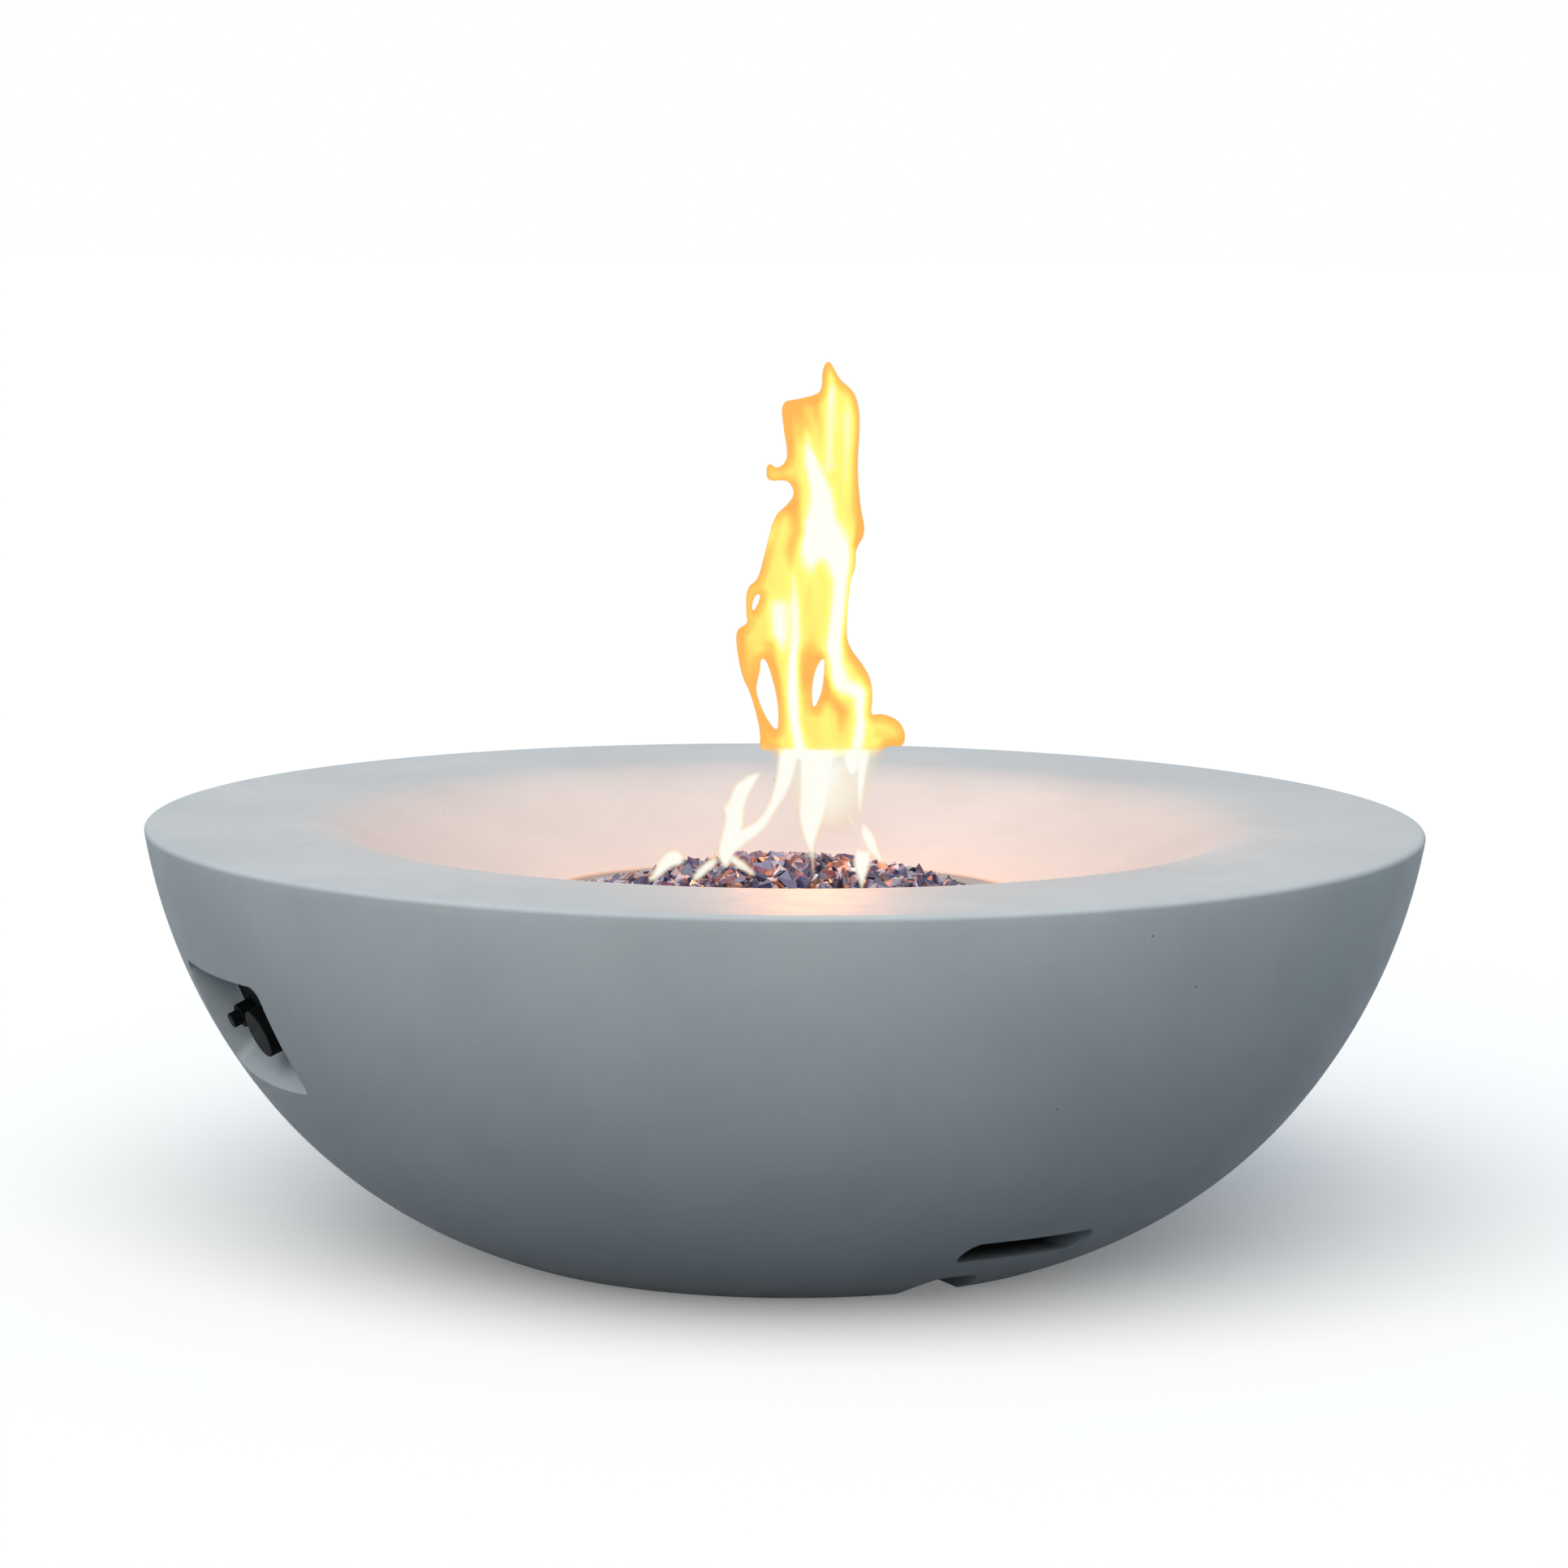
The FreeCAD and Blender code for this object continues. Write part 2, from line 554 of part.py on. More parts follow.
def burner_pan():
    """Drop-in pan: a flange on the seat of the dish and a round well."""
    body = new_body("BurnerPan", at_burner(SEAT_Z))
    half = new_sketch(body, "PanProfile", "XZ_Plane")
    bore = "nipple_radius + hole_gap"
    outline(half, [
        (bore, "sheet - pan_depth"), (bore, "-pan_depth"),
        (f"{PAN_WELL} - pan_bend", "-pan_depth"),
        (PAN_WELL, "pan_bend - pan_depth", "pan_bend", "left"),
        (PAN_WELL, "-flange_bend"),
        (f"{PAN_WELL} + flange_bend", "0", "flange_bend", "right"),
        (PAN_FLANGE, "0"), (PAN_FLANGE, "sheet"),
        (f"{PAN_WELL} + flange_bend", "sheet"),
        (f"{PAN_WELL} - sheet", "-flange_bend", "flange_bend + sheet", "left"),
        (f"{PAN_WELL} - sheet", "pan_bend - pan_depth"),
        (f"{PAN_WELL} - pan_bend", "sheet - pan_depth", "pan_bend - sheet", "right")])
    revolve(body, "PanTurn", half)
    holes = new_sketch(body, "SensorHoles", "XY_Plane", lift("2 * sheet - pan_depth"))
    circle(holes, "sensor_reach", "-sensor_spread", "insulator_radius + hole_gap")
    circle(holes, "sensor_reach", "sensor_spread", "probe_radius + hole_gap")
    for side in ("-", ""):
        circle(holes, "sensor_reach", f"{side}bracket_screw_spread",
               "screw_radius + hole_gap")
    pocket(body, "SensorHoleCut", holes, "3 * sheet")
    drain = new_sketch(body, "Drain", "XY_Plane", lift("2 * sheet - pan_depth"))
    circle(drain, "drain_circle * cos(30)", "drain_circle * sin(30)", "drain_hole")
    hole = pocket(body, "DrainCut", drain, "3 * sheet")
    polar(body, "Drains", hole, "drain_count")
    return node(body, "burner_pan")


def burner_ring():
    """Round tube burner with a hub, four spokes and a row of ports on top."""
    body = new_body("BurnerRing", at_burner(RING_Z))
    tube_circle = new_sketch(body, "TubeCircle", "XZ_Plane")
    circle(tube_circle, "ring_radius", "0", "tube_radius")
    revolve(body, "Ring", tube_circle)
    hub = new_sketch(body, "HubCircle", "XY_Plane", lift("-ring_lift"))
    circle(hub, "0", "0", "hub_radius")
    pad(body, "Hub", hub, "hub_height")
    spoke = new_sketch(body, "SpokeCircle", "YZ_Plane", lift("hub_radius / 2"))
    circle(spoke, "0", "0", "spoke_radius")
    arm = pad(body, "Spoke", spoke, "ring_radius - hub_radius / 2")
    polar(body, "Spokes", arm, "spoke_count")
    hollow = new_sketch(body, "TubeBore", "XZ_Plane")
    circle(hollow, "ring_radius", "0", "tube_radius - tube_wall")
    revolve(body, "RingBore", hollow, kind="Groove")
    bore = new_sketch(body, "SpokeBore", "YZ_Plane")
    circle(bore, "0", "0", "spoke_radius - tube_wall")
    cut = pocket(body, "SpokeBoreCut", bore, "ring_radius", Reversed=True)
    polar(body, "SpokeBores", cut, "spoke_count")
    socket = new_sketch(body, "Socket", "XY_Plane", lift("-ring_lift"))
    circle(socket, "0", "0", THREAD)
    pocket(body, "SocketCut", socket, "socket_depth", Reversed=True)
    feed = new_sketch(body, "Feed", "XY_Plane", lift("-ring_lift"))
    circle(feed, "0", "0", "nipple_bore")
    pocket(body, "FeedCut", feed, "ring_lift + spoke_radius - tube_wall", Reversed=True)
    port = new_sketch(body, "Port", "XY_Plane", lift("2 * tube_radius"))
    circle(port, "ring_radius * cos(11.25)", "ring_radius * sin(11.25)", "port_radius")
    hole = pocket(body, "PortCut", port, "2 * tube_radius")
    polar(body, "Ports", hole, "port_count")
    return node(body, "burner_ring")


def pipe_between(body, outer, bore, length):
    """Plain tube from the body's origin along its Z."""
    ring = new_sketch(body, "TubeEnd")
    circle(ring, "0", "0", outer)
    circle(ring, "0", "0", bore)
    pad(body, "Tube", ring, length)


def burner_nipple():
    """Threaded pipe from the elbow, through the pan floor, into the hub."""
    start = "elbow_leg - socket_depth"
    body = new_body("BurnerNipple", at_burner(f"{PIPE_Z} + {start}"))
    pipe_between(body, "nipple_radius", "nipple_bore",
                 "elbow_drop - elbow_leg + 2 * socket_depth")
    return node(body, "burner_nipple")


def burner_locknut():
    """Hexagonal nut that clamps the pan floor to the hub."""
    body = new_body("BurnerLocknut", at_burner(f"{FLOOR_Z} - sheet - locknut_height"))
    six = new_sketch(body, "Hexagon")
    hexagon(six, "locknut_flats")
    circle(six, "0", "0", THREAD)
    pad(body, "Nut", six, "locknut_height")
    return node(body, "burner_locknut")


def burner_elbow():
    """Quarter bend with a female thread at each end."""
    body = new_body("BurnerElbow", at_burner(PIPE_Z))
    ball = new_sketch(body, "Ball", "XZ_Plane")
    outline(ball, [("elbow_radius", "0", "elbow_radius", "left"),
                   ("0", "elbow_radius", "elbow_radius", "left"),
                   ("0", "-elbow_radius")])
    revolve(body, "Corner", ball)
    for name, plane in (("Up", "XY_Plane"), ("Out", "YZ_Plane")):
        leg = new_sketch(body, name, plane)
        circle(leg, "0", "0", "elbow_radius")
        pad(body, f"{name}Leg", leg, "elbow_leg")
    for name, plane in (("Up", "XY_Plane"), ("Out", "YZ_Plane")):
        bore = new_sketch(body, f"{name}Bore", plane, lift("-nipple_bore"))
        circle(bore, "0", "0", "nipple_bore")
        pocket(body, f"{name}BoreCut", bore, "elbow_leg + nipple_bore", Reversed=True)
        thread = new_sketch(body, f"{name}Thread", plane, lift("elbow_leg"))
        circle(thread, "0", "0", THREAD)
        pocket(body, f"{name}ThreadCut", thread, "socket_depth")
    return node(body, "burner_elbow")


def air_mixer():
    """Mixing chamber with four air windows and a threaded end for the jet."""
    body = new_body("AirMixer", at_burner(PIPE_Z, "elbow_leg"))
    half = new_sketch(body, "MixerProfile", "XZ_Plane")
    spud = "spud_radius + thread_gap"
    outline(half, [
        ("-socket_depth", "nipple_bore"), ("mixer_end", "nipple_bore"),
        ("mixer_end", "mixer_bore"), ("mixer_length - mixer_end", "mixer_bore"),
        ("mixer_length - mixer_end", spud), ("mixer_length", spud),
        ("mixer_length", "mixer_radius"), ("0", "mixer_radius"),
        ("0", "nipple_radius"), ("-socket_depth", "nipple_radius")])
    revolve(body, "Mixer", half, axis="H_Axis")
    for name, plane in (("Upper", "XY_Plane"), ("Side", "XZ_Plane")):
        slot = new_sketch(body, f"{name}Window", plane, lift("mixer_radius + 1"))
        left = "(mixer_length - air_slot_length) / 2"
        right = "(mixer_length + air_slot_length) / 2"
        rounded_box(slot, left, right, "-air_slot_width / 2", "air_slot_width / 2",
                    "air_slot_width * 0.49", "air_slot_width * 0.49")
        pocket(body, f"{name}WindowCut", slot, "2 * mixer_radius + 2")
    return node(body, "air_mixer")


def flare_stub(body, spigot, spigot_length, bore_length):
    """Hexagon, flare thread and spigot along Z; the hexagon starts at the origin."""
    plug = new_sketch(body, "Spigot")
    circle(plug, "0", "0", spigot)
    pad(body, "SpigotPad", plug, spigot_length, Reversed=True)
    six = new_sketch(body, "Hexagon")
    hexagon(six, "fitting_flats")
    pad(body, "HexagonPad", six, "fitting_hex")
    thread = new_sketch(body, "Thread", "XY_Plane", lift("fitting_hex"))
    circle(thread, "0", "0", "flare_radius")
    pad(body, "ThreadPad", thread, "flare_length")
    bore = new_sketch(body, "Bore", "XY_Plane", lift("fitting_hex + flare_length"))
    circle(bore, "0", "0", "fitting_bore")
    pocket(body, "BoreCut", bore, bore_length)


def orifice_fitting():
    """Brass fitting with the gas jet; the hose screws on to its flare thread."""
    along = FreeCAD.Rotation(Y_AXIS, 90)
    body = new_body("OrificeFitting",
                    at_burner(PIPE_Z, "elbow_leg + mixer_length", "0", along))
    flare_stub(body, "spud_radius", "spud_length",
               "fitting_hex + flare_length + spud_length / 2")
    jet = new_sketch(body, "Jet")
    circle(jet, "0", "0", "jet_radius")
    pocket(body, "JetCut", jet, "2 * spud_length")
    return node(body, "orifice_fitting")


def sensor_bracket():
    """Flat strip on the pan floor that carries the electrode and the probe."""
    body = new_body("SensorBracket", at_burner(FLOOR_Z, "sensor_reach"))
    strip = new_sketch(body, "Strip")
    rounded_box(strip, "-bracket_width / 2", "bracket_width / 2", "-bracket_length / 2",
                "bracket_length / 2", "pan_bend", "pan_bend")
    circle(strip, "0", "-sensor_spread", "insulator_radius + hole_gap")
    circle(strip, "0", "sensor_spread", "probe_radius + hole_gap")
    for side in ("-", ""):
        circle(strip, "0", f"{side}bracket_screw_spread", "screw_radius + hole_gap")
    pad(body, "StripPad", strip, "sheet")
    return node(body, "sensor_bracket")


def cap_screws(name, label, place, spots, length):
    """Cap screws at spots; the body's origin plane is under their heads."""
    body = new_body(name, place)
    heads = new_sketch(body, "Heads")
    shanks = new_sketch(body, "Shanks")
    keys = new_sketch(body, "Keys", "XY_Plane", lift("screw_head_height"))
    for x_text, y_text in spots:
        circle(heads, x_text, y_text, "screw_head")
        circle(shanks, x_text, y_text, "screw_radius")
        hexagon(keys, "key_flats", x_text, y_text)
    pad(body, "HeadPads", heads, "screw_head_height")
    pad(body, "ShankPads", shanks, length, Reversed=True)
    pocket(body, "KeyCuts", keys, "key_depth")
    return node(body, label)


def bracket_nuts():
    """Two nuts under the pan floor, on the bracket's screws."""
    body = new_body("BracketNuts",
                    at_burner(f"{FLOOR_Z} - sheet - nut_small_height", "sensor_reach"))
    nuts = new_sketch(body, "Hexagons")
    for side in ("-", ""):
        hexagon(nuts, "nut_small_flats", "0", f"{side}bracket_screw_spread")
        circle(nuts, "0", f"{side}bracket_screw_spread", "screw_radius + thread_gap")
    pad(body, "NutPads", nuts, "nut_small_height")
    return node(body, "bracket_nuts")


def collared_pin(name, label, side, radius, collar, bore, top, drop):
    """Round pin through the bracket with a collar that rests on it."""
    body = new_body(name, at_burner(FLOOR_Z, "sensor_reach", f"{side}sensor_spread"))
    half = new_sketch(body, "PinProfile", "XZ_Plane")
    outline(half, [
        (bore, f"-{drop}"), (radius, f"-{drop}"), (radius, "sheet"), (collar, "sheet"),
        (collar, "sheet + collar_height"), (radius, "sheet + collar_height"),
        (radius, top), (bore, top)])
    revolve(body, "Pin", half)
    return node(body, label)


def electrode_rod():
    """Spark rod through the ceramic insulator."""
    body = new_body("ElectrodeRod",
                    at_burner(f"{FLOOR_Z} - rod_drop", "sensor_reach", "-sensor_spread"))
    end = new_sketch(body, "RodEnd")
    circle(end, "0", "0", "rod_radius")
    pad(body, "Rod", end, "rod_drop + rod_top")
    return node(body, "electrode_rod")


HEAP_BASE = f"({SEAT_Z} + sheet)"
HEAP_TOP = f"({HEAP_BASE} + heap_rise)"
HEAP_R = f"({PAN_FLANGE} - heap_margin)"
CROWN_R = f"({HEAP_R} - heap_slope)"


def heap_level(reach):
    """Height and slope in degrees of the smooth heap at a distance from its axis."""
    crown = value("heap_crown")
    turn = value(CROWN_R)
    if reach <= turn:
        level = value(HEAP_TOP) - crown + math.sqrt(crown ** 2 - reach ** 2)
        return level, math.degrees(math.asin(reach / crown))
    shoulder = value("heap_shoulder")
    edge = FreeCAD.Vector(value(HEAP_R), value(f"{HEAP_BASE} + heap_edge"), 0)
    top = FreeCAD.Vector(turn, heap_level(turn)[0], 0)
    half = (top - edge) * 0.5
    side = FreeCAD.Vector(-half.y, half.x, 0).normalize()
    centre = edge + half + side * math.sqrt(shoulder ** 2 - half.Length ** 2)
    out = reach - centre.x
    level = centre.y + math.sqrt(shoulder ** 2 - out ** 2)
    return level, math.degrees(math.asin(out / shoulder))


def fire_glass():
    """Heap of loose fire glass, taken together: it covers the burner and the flange.

    Larger lumps of glass stand out of it in rings, each square to the heap's surface.
    """
    body = new_body("FireGlass")
    half = new_sketch(body, "HeapProfile", "XZ_Plane")
    low = f"{RING_Z} + hub_height - ring_lift + glass_gap"
    inner = f"{PAN_WELL} - sheet - glass_gap"
    crown_z = f"{HEAP_TOP} - heap_crown + sqrt(heap_crown^2 - {CROWN_R}^2)"
    outline(half, [
        ("0", low), (inner, low), (inner, HEAP_BASE), (HEAP_R, HEAP_BASE),
        (HEAP_R, f"{HEAP_BASE} + heap_edge"),
        (CROWN_R, crown_z, "heap_shoulder", "left"),
        ("0", HEAP_TOP, "heap_crown", "left")])
    revolve(body, "Heap", half)
    for ring in range(round(value("lump_rings")) + 1):
        reach = ring * value("lump_pitch")
        level, slope = heap_level(reach)
        root = level - value("lump_root")
        lump = new_sketch(body, f"Lump{ring}", "XY_Plane",
                          lift(root, reach, "0", FreeCAD.Rotation(Y_AXIS, slope)))
        hexagon(lump, "lump_flats")
        raised = pad(body, f"LumpPad{ring}", lump, "lump_root + lump_rise")
        raised.setExpression("TaperAngle", formula("-lump_taper"))
        if ring:
            polar(body, f"Lumps{ring}", raised, 6 * ring)
    return node(body, "fire_glass")


# ---------------------------------------------------------------------------
# Controls in the recess: plate, valve with its knob, igniter
# ---------------------------------------------------------------------------
PLATE_FRONT = "(sheet - recess_depth)"
BONNET_END = "(recess_depth + bonnet_length)"
BLOCK_END = f"({BONNET_END} + block_length)"
PORT_Z = f"({BONNET_END} + block_length / 2)"
KNOB_X, KNOB_Y = "knob_offset", "-controls_drop"
SPARK_X = "-igniter_offset"
PLATE_SPOTS = [(f"{side}(plate_width / 2 - screw_inset)",
                f"{level}(plate_height / 2 - screw_inset)")
               for side in ("-", "") for level in ("-", "")]
VALVE_SPOTS = [("-valve_screw_spread", "0"), ("valve_screw_spread", "0")]
STEM_END = "(recess_depth - sheet - knob_gap - hub_setback - stem_grip)"


def control_plate():
    """Flat plate on the back of the recess, for the valve and the igniter."""
    body = new_body("ControlPlate", at_controls("-recess_depth", "0", "plate_rise"))
    face = new_sketch(body, "PlateFace")
    rounded_box(face, "-plate_width / 2", "plate_width / 2", "-plate_height / 2",
                "plate_height / 2", "plate_corner", "plate_corner")
    for x_text, y_text in PLATE_SPOTS:
        circle(face, x_text, y_text, "screw_radius + hole_gap")
    level = "-controls_drop - plate_rise"
    circle(face, KNOB_X, level, "stem_radius + 1")
    for side in ("-", "+"):
        circle(face, f"knob_offset {side} valve_screw_spread", level,
               "screw_radius + hole_gap")
    circle(face, SPARK_X, level, "neck_radius + hole_gap")
    pad(body, "Plate", face, "sheet")
    return node(body, "control_plate")


def plate_inserts():
    """Brass inserts cast into the back wall, one for each plate screw."""
    body = new_body("PlateInserts", at_controls("-recess_depth", "0", "plate_rise"))
    rings = new_sketch(body, "Rings")
    for x_text, y_text in PLATE_SPOTS:
        circle(rings, x_text, y_text, "insert_radius")
        circle(rings, x_text, y_text, "screw_radius + seat_gap")
    pad(body, "InsertPads", rings, "insert_length", Reversed=True)
    return node(body, "plate_inserts")


def valve_body():
    """Safety valve: bonnet behind the plate, block with two ports, magnet housing."""
    body = new_body("ValveBody", at_controls("0", KNOB_X, KNOB_Y))
    bonnet = new_sketch(body, "Bonnet", "XY_Plane", lift("-recess_depth"))
    circle(bonnet, "0", "0", "bonnet_radius")
    pad(body, "BonnetPad", bonnet, "bonnet_length", Reversed=True)
    block = new_sketch(body, "Block", "XY_Plane", lift(f"-{BONNET_END}"))
    rounded_box(block, "-block_width / 2", "block_width / 2", "-block_height / 2",
                "block_height / 2", "case_corner", "case_corner")
    pad(body, "BlockPad", block, "block_length", Reversed=True)
    magnet = new_sketch(body, "Magnet", "XY_Plane", lift(f"-{BLOCK_END}"))
    circle(magnet, "0", "0", "magnet_radius")
    pad(body, "MagnetPad", magnet, "magnet_length", Reversed=True)
    ports = (("Outlet", "XZ_Plane", "block_height / 2"),
             ("Inlet", "YZ_Plane", "block_width / 2"))
    for name, plane, start in ports:
        boss = new_sketch(body, f"{name}Boss", plane, lift(f"{start} - 1"))
        circle(boss, "0", f"-{PORT_Z}", "port_boss")
        pad(body, f"{name}BossPad", boss, "port_length + 1")
    for name, plane, start in ports:
        seat = new_sketch(body, f"{name}Thread", plane, lift(f"{start} + port_length"))
        circle(seat, "0", f"-{PORT_Z}", "spigot_radius + thread_gap")
        pocket(body, f"{name}ThreadCut", seat, "port_length")
        way = new_sketch(body, f"{name}Way", plane)
        circle(way, "0", f"-{PORT_Z}", "fitting_bore")
        pocket(body, f"{name}WayCut", way, f"{start} + 1", Reversed=True)
    rod_start = "(recess_depth - sheet - knob_gap - hub_setback - stem_grip + stem_length)"
    stem = new_sketch(body, "StemBore", "XY_Plane", lift("-recess_depth"))
    circle(stem, "0", "0", "stem_radius + running_gap")
    deep = f"{rod_start} + pushrod_head_length + push_travel + rod_clear"
    pocket(body, "StemBoreCut", stem, f"{deep} - recess_depth")
    rod = new_sketch(body, "RodBore", "XY_Plane", lift("-recess_depth"))
    circle(rod, "0", "0", "pushrod_radius + running_gap")
    pocket(body, "RodBoreCut", rod, f"{deep} + pushrod_length - recess_depth")
    seats = new_sketch(body, "ScrewSeats", "XY_Plane", lift("-recess_depth"))
    for x_text, y_text in VALVE_SPOTS:
        circle(seats, x_text, y_text, "screw_radius + thread_gap")
    pocket(body, "ScrewSeatCuts", seats, "valve_screw_length")
    stub = new_sketch(body, "ProbeSeat", "XY_Plane", lift(f"-{BLOCK_END} - magnet_length"))
    circle(stub, "0", "0", "probe_stub_radius + thread_gap")
    pocket(body, "ProbeSeatCut", stub, "probe_stub", Reversed=True)
    return node(body, "valve_body")


def port_fitting(name, label, along):
    """Flare fitting in a port of the valve; along turns Z to the way it points."""
    outward = along.multVec(Z_AXIS)
    start = value("block_width" if abs(outward.x) > 0.5 else "block_height") / 2
    start += value("port_length")
    place = CONTROLS.multiply(lift(f"-{PORT_Z}", KNOB_X, KNOB_Y))
    place = place.multiply(FreeCAD.Placement(outward * start, along))
    body = new_body(name, place)
    flare_stub(body, "spigot_radius", "spigot_length",
               "fitting_hex + flare_length + spigot_length")
    return node(body, label)


def hose_nuts(places):
    """Two swivel nuts, one at each end of the burner hose."""
    body = new_body("HoseNuts")
    for number, place in enumerate(places):
        six = new_sketch(body, f"Hexagon{number}", "XY_Plane", place)
        hexagon(six, "nut_flats")
        circle(six, "0", "0", "hose_radius + seat_gap")
        pad(body, f"Nut{number}", six, "nut_length")
    for number, place in enumerate(places):
        seat = new_sketch(body, f"Seat{number}", "XY_Plane", place)
        circle(seat, "0", "0", "flare_radius + thread_gap")
        pocket(body, f"SeatCut{number}", seat, "flare_length", Reversed=True)
    return node(body, "hose_nuts")


def d_section(sketch, radius, flat):
    """Circle with one flat, facing +X."""
    half = f"sqrt(({radius})^2 - ({flat})^2)"
    outline(sketch, [
        (flat, half), ("0", radius, radius, "left"), (f"-({radius})", "0", radius, "left"),
        ("0", f"-({radius})", radius, "left"), (flat, f"-{half}", radius, "left")])


def valve_stem():
    """Stem with a flat for the knob; it turns and slides in the valve."""
    body = new_body("ValveStem", at_controls(f"-{STEM_END} - stem_length", KNOB_X, KNOB_Y))
    end = new_sketch(body, "StemEnd")
    circle(end, "0", "0", "stem_radius")
    pad(body, "Stem", end, "stem_length - stem_grip - hub_setback")
    grip = new_sketch(body, "Grip", "XY_Plane",
                      lift("stem_length - stem_grip - hub_setback"))
    d_section(grip, "stem_radius", "stem_flat")
    pad(body, "GripPad", grip, "stem_grip + hub_setback")
    return node(body, "valve_stem")


def safety_rod():
    """Push rod in the valve: the pressed stem moves it to open the magnet."""
    body = new_body("SafetyRod", at_controls(f"-{STEM_END} - stem_length - running_gap",
                                             KNOB_X, KNOB_Y))
    head = new_sketch(body, "Head")
    circle(head, "0", "0", "pushrod_head")
    pad(body, "HeadPad", head, "pushrod_head_length", Reversed=True)
    rod = new_sketch(body, "RodEnd", "XY_Plane", lift("-pushrod_head_length"))
    circle(rod, "0", "0", "pushrod_radius")
    pad(body, "Rod", rod, "pushrod_length", Reversed=True)
    return node(body, "safety_rod")


def knob():
    """Round knob, hollow behind, with a hub for the stem and a pointer groove."""
    body = new_body("Knob", at_controls(f"{PLATE_FRONT} + knob_gap", KNOB_X, KNOB_Y))
    half = new_sketch(body, "KnobProfile", "XZ_Plane")
    back = "knob_thickness - knob_face"
    outline(half, [
        ("0", "hub_setback"), ("knob_hub", "hub_setback"), ("knob_hub", back),
        ("knob_radius - knob_wall", back), ("knob_radius - knob_wall", "0"),
        ("knob_radius", "0"), ("knob_radius - knob_taper", "knob_thickness - knob_edge"),
        ("knob_radius - knob_taper - knob_edge", "knob_thickness", "knob_edge * 1.05",
         "left"),
        ("0", "knob_thickness")])
    revolve(body, "KnobTurn", half)
    bore = new_sketch(body, "StemHole", "XY_Plane", lift("hub_setback"))
    d_section(bore, "stem_radius + running_gap", "stem_flat + running_gap")
    pocket(body, "StemHoleCut", bore, "stem_grip + seat_gap", Reversed=True)
    mark = new_sketch(body, "Pointer", "XY_Plane", lift("knob_thickness"))
    rounded_box(mark, "-pointer_end", "-pointer_start", "-pointer_width / 2",
                "pointer_width / 2", "pointer_width * 0.49", "pointer_width * 0.49")
    pocket(body, "PointerCut", mark, "pointer_depth")
    return node(body, "knob")


def thermocouple_nut():
    """Nut that holds the end of the thermocouple lead in the magnet housing."""
    body = new_body("ThermocoupleNut",
                    at_controls(f"-{BLOCK_END} - magnet_length", KNOB_X, KNOB_Y))
    six = new_sketch(body, "Hexagon")
    hexagon(six, "probe_nut_flats")
    pad(body, "NutPad", six, "probe_nut_length", Reversed=True)
    stub = new_sketch(body, "Stub")
    circle(stub, "0", "0", "probe_stub_radius")
    pad(body, "StubPad", stub, "probe_stub - seat_gap")
    return node(body, "thermocouple_nut")


def igniter_body():
    """Spark generator: threaded neck through the plate and a case behind it."""
    body = new_body("IgniterBody", at_controls("0", SPARK_X, KNOB_Y))
    front = "(recess_depth - sheet - bezel_length + bezel_lip)"
    neck = new_sketch(body, "Neck", "XY_Plane", lift(f"-{front} - neck_length"))
    circle(neck, "0", "0", "neck_radius")
    pad(body, "NeckPad", neck, "neck_length")
    case = new_sketch(body, "Case", "XY_Plane", lift(f"-{front} - neck_length"))
    rounded_box(case, "-case_width / 2", "case_width / 2", "-case_height / 2",
                "case_height / 2", "case_corner", "case_corner")
    pad(body, "CasePad", case, "case_length", Reversed=True)
    bore = new_sketch(body, "NeckBore", "XY_Plane", lift(f"-{front}"))
    circle(bore, "0", "0", "neck_bore")
    pocket(body, "NeckBoreCut", bore, "neck_length")
    well = new_sketch(body, "BatteryBore", "XY_Plane", lift(f"-{front}"))
    circle(well, "0", "0", "battery_bore")
    pocket(body, "BatteryBoreCut", well, "neck_length + case_length - 2 * case_corner")
    return node(body, "igniter_body")


def igniter_bezel():
    """Collar screwed on to the neck; its lip keeps the button in."""
    body = new_body("IgniterBezel", at_controls(PLATE_FRONT, SPARK_X, KNOB_Y))
    half = new_sketch(body, "BezelProfile", "XZ_Plane")
    lip = "button_radius + running_gap"
    outline(half, [
        ("neck_radius + thread_gap", "0"), ("bezel_radius", "0"),
        ("bezel_radius", "bezel_length - knob_edge"),
        ("bezel_radius - knob_edge", "bezel_length"), (lip, "bezel_length"),
        (lip, "bezel_length - bezel_lip"),
        ("neck_radius + thread_gap", "bezel_length - bezel_lip")])
    revolve(body, "Bezel", half)
    return node(body, "igniter_bezel")


def igniter_button():
    """Push button with a flange behind the bezel's lip."""
    place = at_controls(f"{PLATE_FRONT} + bezel_length", SPARK_X, KNOB_Y)
    body = new_body("IgniterButton", place)
    half = new_sketch(body, "ButtonProfile", "XZ_Plane")
    step = "-bezel_lip - button_rest_gap"
    outline(half, [
        ("0", f"{step} - button_flange_length - button_tail"),
        ("button_radius", f"{step} - button_flange_length - button_tail"),
        ("button_radius", f"{step} - button_flange_length"),
        ("button_flange", f"{step} - button_flange_length"), ("button_flange", step),
        ("button_radius", step), ("button_radius", "button_reach - knob_edge"),
        ("button_radius - knob_edge", "button_reach", "knob_edge", "left"),
        ("0", "button_reach")])
    revolve(body, "Button", half)
    return node(body, "igniter_button")


